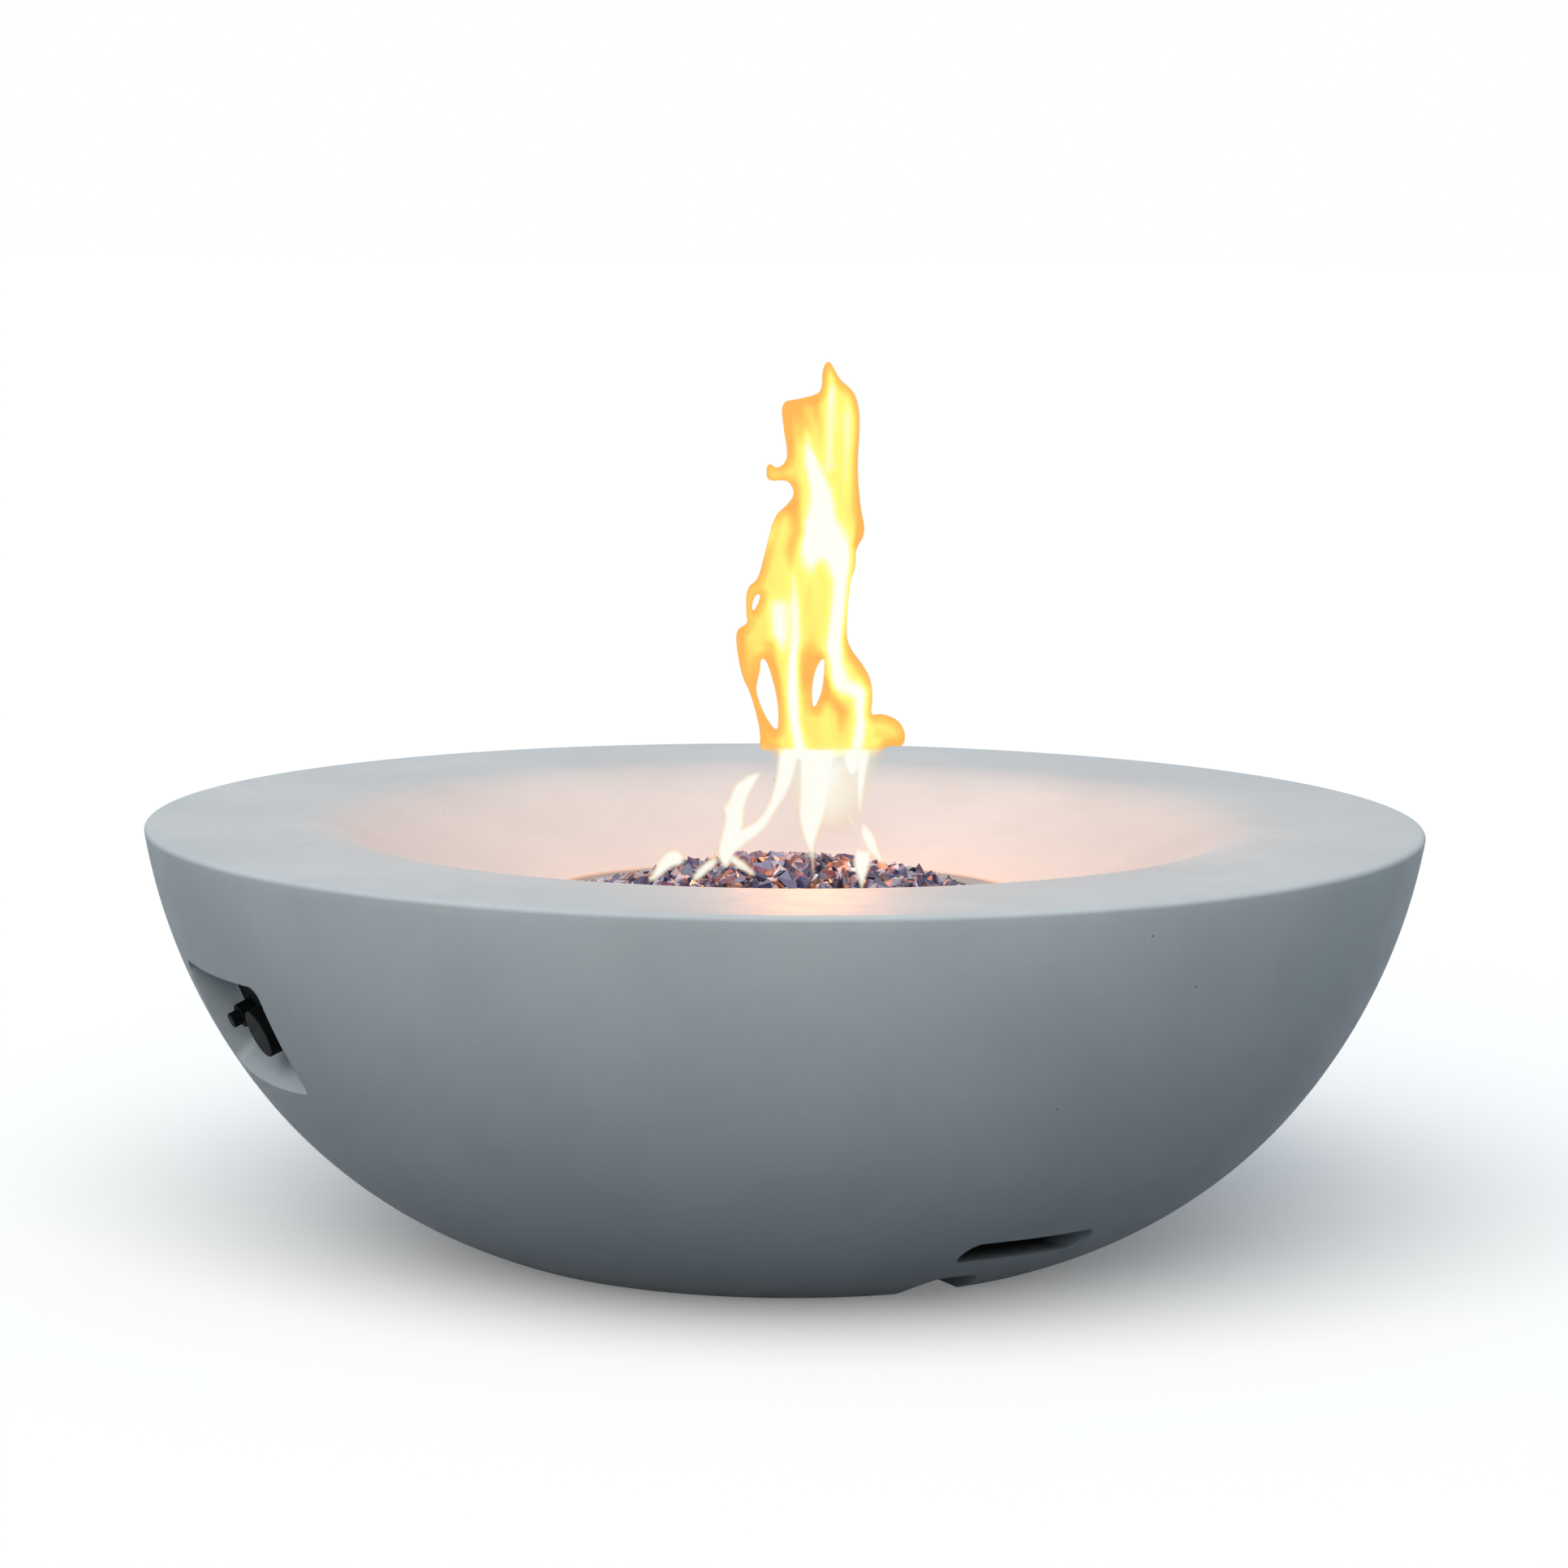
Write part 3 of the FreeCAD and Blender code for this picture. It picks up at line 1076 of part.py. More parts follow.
def igniter_battery():
    """Single cell in the igniter, its plain end on the bottom of the bore."""
    front = "(recess_depth - sheet - bezel_length + bezel_lip)"
    deep = f"-{front} - neck_length - case_length + 2 * case_corner"
    body = new_body("IgniterBattery", at_controls(deep, SPARK_X, KNOB_Y))
    can = new_sketch(body, "Can")
    circle(can, "0", "0", "battery_radius")
    pad(body, "CanPad", can, "battery_length - battery_tip")
    tip = new_sketch(body, "Tip", "XY_Plane", lift("battery_length - battery_tip"))
    circle(tip, "0", "0", "battery_tip_radius")
    pad(body, "TipPad", tip, "battery_tip")
    return node(body, "igniter_battery")


def control_point(side, level, depth):
    """Point of the control frame in the bowl's frame, from plain numbers."""
    return CONTROLS.multVec(FreeCAD.Vector(side, level, depth))


def leads():
    """Burner hose with its nuts, spark lead and thermocouple lead."""
    pipe_z = value(PIPE_Z)
    down = FreeCAD.Rotation(X_AXIS, 90)
    start = value("elbow_leg + mixer_length + fitting_hex")
    level = -value("controls_drop + block_height / 2 + port_length + fitting_hex")
    thread = value("flare_length")
    side, port = value("knob_offset"), -value(PORT_Z)
    hose = tube("BurnerHose", [
        beside_axis(start + thread, 0, pipe_z),
        beside_axis(start + thread + value("hose_lead"), 0, pipe_z),
        beside_axis(value("hose_reach"), value("hose_side"), value("hose_level")),
        control_point(side, level - thread - value("hose_drop"), port),
        control_point(side, level - thread, port)], "hose_radius", "fitting_bore")
    node(hose, "burner_hose")
    out = FreeCAD.Rotation(Y_AXIS, 90)
    hose_nuts([at_burner(PIPE_Z, "elbow_leg + mixer_length + fitting_hex", "0", out),
               CONTROLS.multiply(FreeCAD.Placement(
                   FreeCAD.Vector(side, level, port), down))])
    reach, spread = value("sensor_reach"), value("sensor_spread")
    low = value(f"{FLOOR_Z} - rod_drop")
    under = low - value("spark_drop")
    rear = -value("recess_depth - sheet - bezel_length + bezel_lip + neck_length")
    rear -= value("case_length")
    drop, apart = -value("controls_drop"), -value("igniter_offset")
    spark = tube("SparkLead", [
        beside_axis(reach, -spread, low), beside_axis(reach, -spread, under),
        beside_axis(value("spark_reach"), -value("spark_side"), under),
        beside_axis(value("spark_rise_reach"), -value("spark_rise_side"),
                    value("spark_level")),
        control_point(apart, drop, rear - value("spark_tail")),
        control_point(apart, drop, rear)],
        "spark_lead_radius")
    node(spark, "spark_lead")
    low = value(f"{FLOOR_Z} - probe_drop")
    under = low - value("probe_lead_drop")
    rear = -value(f"{BLOCK_END} + magnet_length + probe_nut_length")
    probe = tube("ThermocoupleLead", [
        beside_axis(reach, spread, low), beside_axis(reach, spread, under),
        beside_axis(value("probe_reach"), value("probe_side"), under),
        beside_axis(value("probe_rise_reach"), value("probe_rise_side"),
                    value("probe_level")),
        control_point(side, drop, rear - value("probe_tail")),
        control_point(side, drop, rear)],
        "probe_lead_radius")
    node(probe, "thermocouple_lead")


def finish():
    """Check every object, then write each sub-part's shape."""
    doc.recompute()
    for item in doc.Objects:
        if "Invalid" in item.State or "Error" in item.State:
            raise RuntimeError(f"{item.Name} failed: {item.State}")
    for item in NODES:
        if item.Shape.isNull() or not item.Shape.isValid():
            raise RuntimeError(f"{item.Label} has no valid shape")
    os.makedirs("parts", exist_ok=True)
    for item in NODES:
        item.Shape.exportStep(f"parts/{item.Label}.step")
        print(item.Label, len(item.Shape.Solids), "solids", round(item.Shape.Volume))


bowl_shell()
bowl_dish()
rubber_feet()
burner_pan()
burner_ring()
burner_nipple()
burner_locknut()
burner_elbow()
air_mixer()
orifice_fitting()
sensor_bracket()
cap_screws("BracketScrews", "bracket_screws", at_burner(f"{FLOOR_Z} + sheet", "sensor_reach"),
           [("0", "-bracket_screw_spread"), ("0", "bracket_screw_spread")], "screw_length")
bracket_nuts()
collared_pin("ElectrodeInsulator", "electrode_insulator", "-", "insulator_radius",
             "insulator_collar", "rod_radius + running_gap", "insulator_top",
             "insulator_drop")
collared_pin("Thermocouple", "thermocouple", "", "probe_radius", "probe_collar", "0",
             "probe_top", "probe_drop")
electrode_rod()
fire_glass()
control_plate()
plate_inserts()
cap_screws("PlateScrews", "plate_screws", at_controls(PLATE_FRONT, "0", "plate_rise"),
           PLATE_SPOTS, "screw_length")
cap_screws("ValveScrews", "valve_screws", at_controls(PLATE_FRONT, KNOB_X, KNOB_Y),
           VALVE_SPOTS, "valve_screw_length")
valve_body()
port_fitting("InletFitting", "inlet_fitting", FreeCAD.Rotation(Y_AXIS, 90))
port_fitting("OutletFitting", "outlet_fitting", FreeCAD.Rotation(X_AXIS, 90))
valve_stem()
safety_rod()
knob()
thermocouple_nut()
igniter_body()
igniter_bezel()
igniter_button()
igniter_battery()
leads()
finish()
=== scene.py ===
"""Visual model of a round concrete gas fire bowl, built as an add-on.

Two pieces are made here: the casting's smooth skin, which stands for the CAD casting, and
the heap of fire glass. Every other piece is the CAD node with a finish. All lengths are
millimetres until a mesh is written, in metres.
"""
import json
import math

import bmesh
import bpy
import numpy as np
from mathutils import Matrix, Vector


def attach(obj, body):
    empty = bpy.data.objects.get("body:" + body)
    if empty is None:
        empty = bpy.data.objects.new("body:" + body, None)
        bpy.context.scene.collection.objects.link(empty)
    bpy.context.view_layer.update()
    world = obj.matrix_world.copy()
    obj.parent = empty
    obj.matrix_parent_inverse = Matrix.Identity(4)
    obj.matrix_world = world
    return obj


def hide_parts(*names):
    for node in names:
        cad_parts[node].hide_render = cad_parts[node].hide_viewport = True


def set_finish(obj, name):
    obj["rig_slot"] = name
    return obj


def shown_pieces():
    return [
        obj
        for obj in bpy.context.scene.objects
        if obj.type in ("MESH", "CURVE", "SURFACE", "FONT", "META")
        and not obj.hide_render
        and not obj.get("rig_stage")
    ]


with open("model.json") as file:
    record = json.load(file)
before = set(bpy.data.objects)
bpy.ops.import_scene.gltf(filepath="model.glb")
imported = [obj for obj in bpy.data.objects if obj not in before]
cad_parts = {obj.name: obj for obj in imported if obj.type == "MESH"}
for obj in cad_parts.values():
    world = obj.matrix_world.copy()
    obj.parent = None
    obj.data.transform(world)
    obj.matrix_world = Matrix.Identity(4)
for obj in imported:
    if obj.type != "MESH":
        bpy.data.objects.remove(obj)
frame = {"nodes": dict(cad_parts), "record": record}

bl_info = {
    "name": "Fire Bowl",
    "version": (1, 0, 0),
    "blender": (4, 5, 0),
    "location": "View3D > Sidebar > Fire Bowl",
    "description": "Builds the looks of a concrete gas fire bowl round its CAD frame",
    "category": "Add Mesh",
}


def srgb(red, green, blue):
    """Linear colour of a display colour from 0 to 255."""
    linear = [c / 255 / 12.92 if c <= 10 else ((c / 255 + 0.055) / 1.055) ** 2.4
              for c in (red, green, blue)]
    return (*linear, 1.0)


def colour_property(name, description, *display):
    """Colour setting whose default is a display colour from 0 to 255."""
    return bpy.props.FloatVectorProperty(name=name, description=description, size=4,
                                         subtype="COLOR", min=0.0, max=1.0,
                                         default=srgb(*display))


class FireBowlSettings(bpy.types.PropertyGroup):
    """Sizes in millimetres, counts and colours that the operators read."""

    turn_steps: bpy.props.IntProperty(
        name="Steps round the bowl",
        description="Number of straight steps that the casting's circles have",
        default=360, min=24, max=720)
    arc_step: bpy.props.FloatProperty(
        name="Longest step along the profile (mm)",
        description="Longest straight step on the long arcs of the casting's profile",
        default=9.0, min=2.0, max=40.0)
    mouth_softness: bpy.props.FloatProperty(
        name="Softness of the casting's edges (mm)",
        description="Radius at which light rounds off the casting's sharp edges",
        default=2.2, min=0.0, max=6.0)
    chunk_size: bpy.props.FloatProperty(
        name="Mean glass chunk (mm)",
        description="Width of an average splinter of fire glass",
        default=18.0, min=5.0, max=30.0)
    chunk_count: bpy.props.IntProperty(
        name="Glass chunks", description="Number of loose splinters in the heap",
        default=2100, min=50, max=6000)
    chunk_shapes: bpy.props.IntProperty(
        name="Different chunk shapes", description="Number of shapes the splinters share",
        default=40, min=4, max=200)
    seed: bpy.props.IntProperty(
        name="Seed", description="Start of the random numbers of the heap",
        default=11, min=0)
    sky_level: bpy.props.FloatProperty(
        name="Level of the soft overhead light",
        description="Share of the sky's usual strength", subtype="FACTOR",
        default=1.0, min=0.0, max=3.0)
    concrete_light: colour_property(
        "Concrete, light", "Lighter tone of the concrete's clouds", 200, 205, 207)
    concrete_shade: colour_property(
        "Concrete, shade", "Darker tone of the concrete's clouds", 190, 196, 199)
    glass_light: colour_property(
        "Fire glass, light", "Tone of the lighter blue splinters", 88, 92, 130)
    glass_dark: colour_property(
        "Fire glass, dark", "Tone of the darkest blue splinters", 44, 47, 78)
    # Painted light: the coppery tone stands for the flame's warm light on the glass, spread over
    # chunks at random
    glass_painted_flame_warmth: colour_property(
        "Fire glass, copper", "Tone of the splinters that look coppery", 138, 98, 84)


# ---------------------------------------------------------------------------
# Sizes of the casting, its cut-outs, the glass heap and the eye
# ---------------------------------------------------------------------------
RIM_R, RIM_Z, RIM_SLOPE, UPPER_ARC = 535.0, 353.0, 8.86, 476.43
KNEE_SLOPE, LOWER_ARC, FOOT_Z, ARRIS = 38.3, 399.57, 2.0, 4.0
FLAT_R, ROLL, DISH_SLOPE, DISH_ARC = 405.0, 110.0, 30.0, 424.0
SEAT_R, SEAT_DROP, PAN_R, WALL = 206.5, 3.5, 190.0, 18.0
FOOT_BORE, FOOT_TOP, CORE_CORNER = 200.0, 28.0, 24.0
RECESS_AZ, RECESS_TILT, RECESS_R, RECESS_Z = 63.5, 24.0, 485.0, 209.0
# Control recess: outlines and levels of its block, pocket and window in controls_frame
BLOCK_SPAN, BLOCK_LEVELS = (-92, 92, -66, 62), (-47.0, -8.0)
POCKET_HALF, POCKET_TOP, POCKET_SILL = 80, 50, 54
SIDE_DRAFT, TOP_DRAFT, SILL_DRAFT = 8, 7, 27
POCKET_LEVELS = (-31.0, 16.0)
WINDOW_SPAN, WINDOW_LEVELS, WINDOW_CORNER = (-58, 58, -24, 32), (-60.0, -20.0), 18
POCKET_LOW_CORNER, POCKET_HIGH_CORNER = 8, 12
# Air slots, hose notch and the pockets of the four feet
VENT_SPAN, VENT_CORNER, VENT_AZIMUTHS = (-61, 61, 44, 65), 10.29, (33, 213)
NOTCH_SPAN, NOTCH_CORNERS, NOTCH_AZIMUTH = (-28, 28, -25, 25), (1, 18), 27
SLOT_LEVELS = (100.0, 560.0)
FOOT_PAD_R, FOOT_CIRCLE_R, FOOT_LEVELS = 15.5, 228, (-5.0, 5.0)
# The recess block stays this far inside the outer face, between these heights and beyond
# this radius
BLOCK_COVER, BLOCK_LOW, BLOCK_HIGH, BLOCK_INNER_R = 2, 40.0, 330.0, 330.0
# Glass heap: edge height, rise, radius of its curve; reach of chunks and of their bed
HEAP_EDGE_Z, HEAP_RISE, HEAP_R, HEAP_POWER = 283, 35, 190, 1.2
CHUNK_REACH, CHUNK_SCATTER, BED_R, BED_DEPTH = 181, 9, 184, 9.0
# Place of the eye, behind and above the origin
EYE_BACK, EYE_Z = 4066.0, 903.0


def sin(degrees):
    """Sine of an angle in degrees."""
    return math.sin(math.radians(degrees))


def cos(degrees):
    """Cosine of an angle in degrees."""
    return math.cos(math.radians(degrees))


UPPER_C = (RIM_R - UPPER_ARC * cos(RIM_SLOPE), RIM_Z + UPPER_ARC * sin(RIM_SLOPE))
LOWER_C = (UPPER_C[0] + (UPPER_ARC - LOWER_ARC) * cos(KNEE_SLOPE),
           UPPER_C[1] - (UPPER_ARC - LOWER_ARC) * sin(KNEE_SLOPE))
ROLL_C = (FLAT_R, RIM_Z - ROLL)
ROLL_END = (FLAT_R - ROLL * sin(DISH_SLOPE), ROLL_C[1] + ROLL * cos(DISH_SLOPE))
DISH_C = (ROLL_END[0] - DISH_ARC * sin(DISH_SLOPE),
          ROLL_END[1] + DISH_ARC * cos(DISH_SLOPE))


def on_arc(centre, radius, z):
    """Distance from the axis where an arc about centre meets a height."""
    return centre[0] + math.sqrt(max(radius ** 2 - (centre[1] - z) ** 2, 0.0))


def dish_z(r, inset=0.0):
    """Height of the dish's long hollow arc at a distance from the axis."""
    return DISH_C[1] - np.sqrt((DISH_ARC + inset) ** 2 - (r - DISH_C[0]) ** 2)


def arc(centre, radius, start, end, step):
    """Points (r, z) on an arc from one angle to another, the first one left out."""
    count = max(2, int(abs(math.radians(end - start)) * radius / step) + 1)
    a = np.radians(np.linspace(start, end, count + 1)[1:])
    return [(centre[0] + radius * np.cos(t), centre[1] + radius * np.sin(t)) for t in a]


def line(start, end, step):
    """Points on a straight run, the first one left out."""
    start, end = np.array(start, float), np.array(end, float)
    count = max(1, int(np.linalg.norm(end - start) / step) + 1)
    return [tuple(start + (end - start) * k / count) for k in range(1, count + 1)]


def angle_on(centre, point):
    """Angle in degrees of a point about a centre."""
    return math.degrees(math.atan2(point[1] - centre[1], point[0] - centre[0]))


def casting_profile(step):
    """Closed profile (r, z) of the casting with no recess.

    Outside, from the foot: z = Cz - sqrt(R^2 - (r - Cr)^2) on two tangent arcs, a 4 mm
    arris, the flat rim, a convex roll-over and the hollow dish arc down to the pan's
    seat; then the same run inside, one wall thickness in, back to the foot ring.
    """
    foot = (on_arc(LOWER_C, LOWER_ARC, FOOT_Z), FOOT_Z)
    points = [(FOOT_BORE, FOOT_Z)]
    points += line(points[-1], foot, step)
    points += arc(LOWER_C, LOWER_ARC, angle_on(LOWER_C, foot), -KNEE_SLOPE, step)
    centre_z = RIM_Z - ARRIS
    reach = UPPER_ARC - ARRIS
    centre = (on_arc(UPPER_C, reach, centre_z), centre_z)
    touch = angle_on(UPPER_C, centre)
    points += arc(UPPER_C, UPPER_ARC, -KNEE_SLOPE, touch, step)
    points += arc(centre, ARRIS, touch, 90, 0.8)
    points += line(points[-1], (FLAT_R, RIM_Z), step * 2)
    points += arc(ROLL_C, ROLL, 90, 90 + DISH_SLOPE, step / 2)
    seat = (SEAT_R, float(dish_z(SEAT_R)))
    points += arc(DISH_C, DISH_ARC, -90 + DISH_SLOPE, angle_on(DISH_C, seat), step)
    seat_z = seat[1] - SEAT_DROP
    for corner in ((SEAT_R, seat_z), (PAN_R, seat_z)):
        points += line(points[-1], corner, step)
    inner = DISH_ARC + WALL
    low = (PAN_R, float(dish_z(PAN_R, WALL)))
    points += line(points[-1], low, step)
    points += arc(DISH_C, inner, angle_on(DISH_C, low), -90 + DISH_SLOPE, step * 2)
    points += arc(ROLL_C, ROLL - WALL, 90 + DISH_SLOPE, 90, step * 2)
    top = RIM_Z - WALL
    centre_z = top - CORE_CORNER
    centre = (on_arc(UPPER_C, UPPER_ARC - WALL - CORE_CORNER, centre_z), centre_z)
    points += line(points[-1], (centre[0], top), step * 2)
    touch = angle_on(UPPER_C, centre)
    points += arc(centre, CORE_CORNER, 90, touch, step)
    points += arc(UPPER_C, UPPER_ARC - WALL, touch, -KNEE_SLOPE, step * 2)
    low = (on_arc(LOWER_C, LOWER_ARC - WALL, FOOT_TOP), FOOT_TOP)
    points += arc(LOWER_C, LOWER_ARC - WALL, -KNEE_SLOPE, angle_on(LOWER_C, low), step * 2)
    points += line(points[-1], (FOOT_BORE, FOOT_TOP), step * 2)
    points += line(points[-1], points[0], step)[:-1]
    return np.array(points)


def wall_bounds():
    """Closed profile (r, z) that stops just inside the outer face of the wall."""
    upper, lower = UPPER_ARC - BLOCK_COVER, LOWER_ARC - BLOCK_COVER
    top = (on_arc(UPPER_C, upper, BLOCK_HIGH), BLOCK_HIGH)
    low = (on_arc(LOWER_C, lower, BLOCK_LOW), BLOCK_LOW)
    points = [(BLOCK_INNER_R, BLOCK_LOW), low]
    points += arc(LOWER_C, lower, angle_on(LOWER_C, low), -KNEE_SLOPE, 9.0)
    points += arc(UPPER_C, upper, -KNEE_SLOPE, angle_on(UPPER_C, top), 9.0)
    return np.array([*points, (BLOCK_INNER_R, BLOCK_HIGH)])


# ---------------------------------------------------------------------------
# Mesh helpers
# ---------------------------------------------------------------------------
def new_object(name, points, faces, smooth=True):
    """Mesh object in the scene from points in millimetres and face index lists."""
    mesh = bpy.data.meshes.new(name)
    mesh.from_pydata((np.asarray(points, float) / 1000.0).tolist(), [], faces)
    mesh.update()
    mesh.polygons.foreach_set("use_smooth", [smooth] * len(mesh.polygons))
    made = bpy.data.objects.new(name, mesh)
    bpy.context.scene.collection.objects.link(made)
    return made


def ring_faces(rings, steps, closed):
    """Quads of a grid of rings, each of the same number of steps."""
    faces = []
    for i in range(rings if closed else rings - 1):
        a, b = i * steps, ((i + 1) % rings) * steps
        for j in range(steps):
            k = (j + 1) % steps
            faces.append((a + j, a + k, b + k, b + j))
    return faces


def turned(name, profile, steps):
    """Solid of revolution of a closed profile: (r cos t, r sin t, z)."""
    t = np.arange(steps) * 2 * np.pi / steps
    r, z = profile[:, 0][:, None], profile[:, 1][:, None]
    x, y = r * np.cos(t), r * np.sin(t)
    points = np.stack([x, y, np.broadcast_to(z, x.shape)], -1).reshape(-1, 3)
    return new_object(name, points, ring_faces(len(profile), steps, True))


def rounded_outline(left, right, low, high, low_corner, high_corner, steps=8):
    """Rounded rectangle, counter-clockwise, corners as arcs of a few steps."""
    corners = [(right - low_corner, low + low_corner, low_corner, -90),
               (right - high_corner, high - high_corner, high_corner, 0),
               (left + high_corner, high - high_corner, high_corner, 90),
               (left + low_corner, low + low_corner, low_corner, 180)]
    points = []
    for x, y, radius, start in corners:
        for a in np.radians(np.linspace(start, start + 90, steps + 1)):
            points.append((x + radius * math.cos(a), y + radius * math.sin(a)))
    return np.array(points)


def lofted(name, sections, place):
    """Closed solid through outlines [(outline, level)] of a frame, capped at both ends."""
    steps = len(sections[0][0])
    points = [np.c_[shape, np.full(steps, level)] for shape, level in sections]
    points = np.concatenate(points)
    faces = ring_faces(len(sections), steps, False)
    faces.append(tuple(reversed(range(steps))))
    faces.append(tuple(range((len(sections) - 1) * steps, len(sections) * steps)))
    turned_points = points @ np.array(place.to_3x3()).T + np.array(place.translation)
    return new_object(name, turned_points, faces)


def upright_frame(azimuth):
    """X sideways, Y up, Z outwards from the axis at an azimuth counted from -Y."""
    side = Vector((cos(azimuth), sin(azimuth), 0))
    out = Vector((sin(azimuth), -cos(azimuth), 0))
    return Matrix((side, (0, 0, 1), out)).transposed().to_4x4()


def controls_frame():
    """Frame of the control recess: X sideways, Y up the wall, Z out of it."""
    out = Vector((-sin(RECESS_AZ), -cos(RECESS_AZ), 0))
    side = Vector((cos(RECESS_AZ), -sin(RECESS_AZ), 0))
    up = out * sin(RECESS_TILT) + Vector((0, 0, cos(RECESS_TILT)))
    away = out * cos(RECESS_TILT) - Vector((0, 0, sin(RECESS_TILT)))
    made = Matrix((side, up, away)).transposed().to_4x4()
    made.translation = out * RECESS_R + Vector((0, 0, RECESS_Z))
    return made


def carve(target, tool, operation):
    """Boolean of target with tool, written back to target; the tool is removed."""
    step = target.modifiers.new("step", "BOOLEAN")
    step.operation, step.object, step.solver = operation, tool, "EXACT"
    graph = bpy.context.evaluated_depsgraph_get()
    made = bpy.data.meshes.new_from_object(target.evaluated_get(graph))
    target.modifiers.clear()
    target.data = made
    bpy.data.meshes.remove(tool.data)


def joined(objects):
    """One object from several."""
    with bpy.context.temp_override(active_object=objects[0], object=objects[0],
                                   selected_editable_objects=objects):
        bpy.ops.object.join()
    return objects[0]


def show(made, body, slot, *stands_for):
    """Hand a finished piece to the frame."""
    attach(made, body)
    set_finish(made, slot)
    if stands_for:
        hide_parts(*stands_for)
    return made


# ---------------------------------------------------------------------------
# Materials: every one is a node graph on the object's own coordinates
# ---------------------------------------------------------------------------
class Graph:
    """Small builder for one material's nodes."""

    def __init__(self, name):
        self.material = bpy.data.materials.new(name)
        self.material.use_nodes = True
        self.tree = self.material.node_tree
        self.shader = self.tree.nodes["Principled BSDF"]
        self.place = self.add("ShaderNodeTexCoord").outputs["Object"]

    def add(self, kind, **settings):
        """Node of a kind, with its settings."""
        node = self.tree.nodes.new(kind)
        for key, value in settings.items():
            setattr(node, key, value)
        return node

    def link(self, source, target):
        """Wire, or a constant on a socket."""
        if isinstance(source, (int, float, tuple)):
            target.default_value = source
        else:
            self.tree.links.new(source, target)

    def noise(self, scale, detail=3.0, rough=0.5, stretch=(1, 1, 1)):
        """Noise value at a scale per metre, the space stretched along the axes."""
        space = self.add("ShaderNodeMapping")
        self.link(self.place, space.inputs["Vector"])
        space.inputs["Scale"].default_value = stretch
        node = self.add("ShaderNodeTexNoise")
        self.link(space.outputs[0], node.inputs["Vector"])
        self.link(float(scale), node.inputs["Scale"])
        self.link(float(detail), node.inputs["Detail"])
        self.link(float(rough), node.inputs["Roughness"])
        return node.outputs["Fac"]

    def cells(self, scale, feature="F1"):
        """Distance to the nearest cell point."""
        node = self.add("ShaderNodeTexVoronoi", feature=feature)
        self.link(self.place, node.inputs["Vector"])
        self.link(float(scale), node.inputs["Scale"])
        return node.outputs["Distance"]

    def ramp(self, source, low, high, start, end):
        """Source mapped from low..high to start..end and clamped."""
        node = self.add("ShaderNodeMapRange")
        for value, socket in zip((source, low, high, start, end), node.inputs[:5]):
            self.link(value, socket)
        return node.outputs[0]

    def mix(self, share, first, second, blend="MIX"):
        """Two colours mixed by a share."""
        node = self.add("ShaderNodeMix", data_type="RGBA", blend_type=blend)
        self.link(share, node.inputs[0])
        self.link(first, node.inputs[6])
        self.link(second, node.inputs[7])
        return node.outputs[2]

    def math(self, operation, first, second=0.0):
        """One sum."""
        node = self.add("ShaderNodeMath", operation=operation)
        self.link(first, node.inputs[0])
        self.link(second, node.inputs[1])
        return node.outputs[0]

    def bump(self, height, depth, normal=None, strength=1.0):
        """Normal from a height whose full range is depth metres."""
        node = self.add("ShaderNodeBump")
        self.link(float(strength), node.inputs["Strength"])
        self.link(float(depth), node.inputs["Distance"])
        self.link(height, node.inputs["Height"])
        if normal is not None:
            self.link(normal, node.inputs["Normal"])
        return node.outputs[0]

    def finish(self, **sockets):
        """Wire the surface's sockets by name and return the material."""
        for name, source in sockets.items():
            self.link(source, self.shader.inputs[name.replace("_", " ")])
        return self.material


def concrete(settings):
    """Light grey cast concrete: faint clouds, fine grain, few pinholes with painted shade inside
    them.
    """
    g = Graph("concrete")
    clouds = g.ramp(g.noise(5.0, 4.0, 0.6), 0.35, 0.65, 0.0, 1.0)
    colour = g.mix(clouds, tuple(settings.concrete_shade),
                   tuple(settings.concrete_light))
    streaks = g.ramp(g.noise(16.0, 4.0, 0.6, (1, 1, 0.25)), 0.5, 0.75, 0.0, 0.35)
    colour = g.mix(streaks, colour, srgb(186, 189, 192))
    grain = g.ramp(g.noise(420.0, 2.0, 0.6), 0.3, 0.7, 0.0, 0.12)
    colour = g.mix(grain, colour, srgb(176, 178, 180))
    # Pinholes: small bump dents whose darker colour is painted shade inside the holes
    spots = g.cells(26.0)
    pinhole_dents_and_shade = g.ramp(spots, 0.02, 0.034, 1.0, 0.0)
    pinhole_dents_and_shade = g.math("MULTIPLY", pinhole_dents_and_shade, g.ramp(g.noise(9.0), 0.5, 0.58, 0.0, 1.0))
    # Painted shade: the pinholes are darkened towards grey
    colour = g.mix(g.math("MULTIPLY", pinhole_dents_and_shade, 0.6), colour, srgb(104, 104, 103))
    edge = g.add("ShaderNodeBevel", samples=6)
    g.link(settings.mouth_softness / 1000.0, edge.inputs["Radius"])
    skin = g.bump(g.noise(90.0, 4.0, 0.55), 0.0004, edge.outputs[0], 0.35)
    normal = g.bump(pinhole_dents_and_shade, -0.0008, skin, 0.6)
    rough = g.ramp(g.noise(40.0, 3.0), 0.3, 0.7, 0.5, 0.6)
    return g.finish(Base_Color=colour, Roughness=rough, Normal=normal,
                    Specular_IOR_Level=0.12)


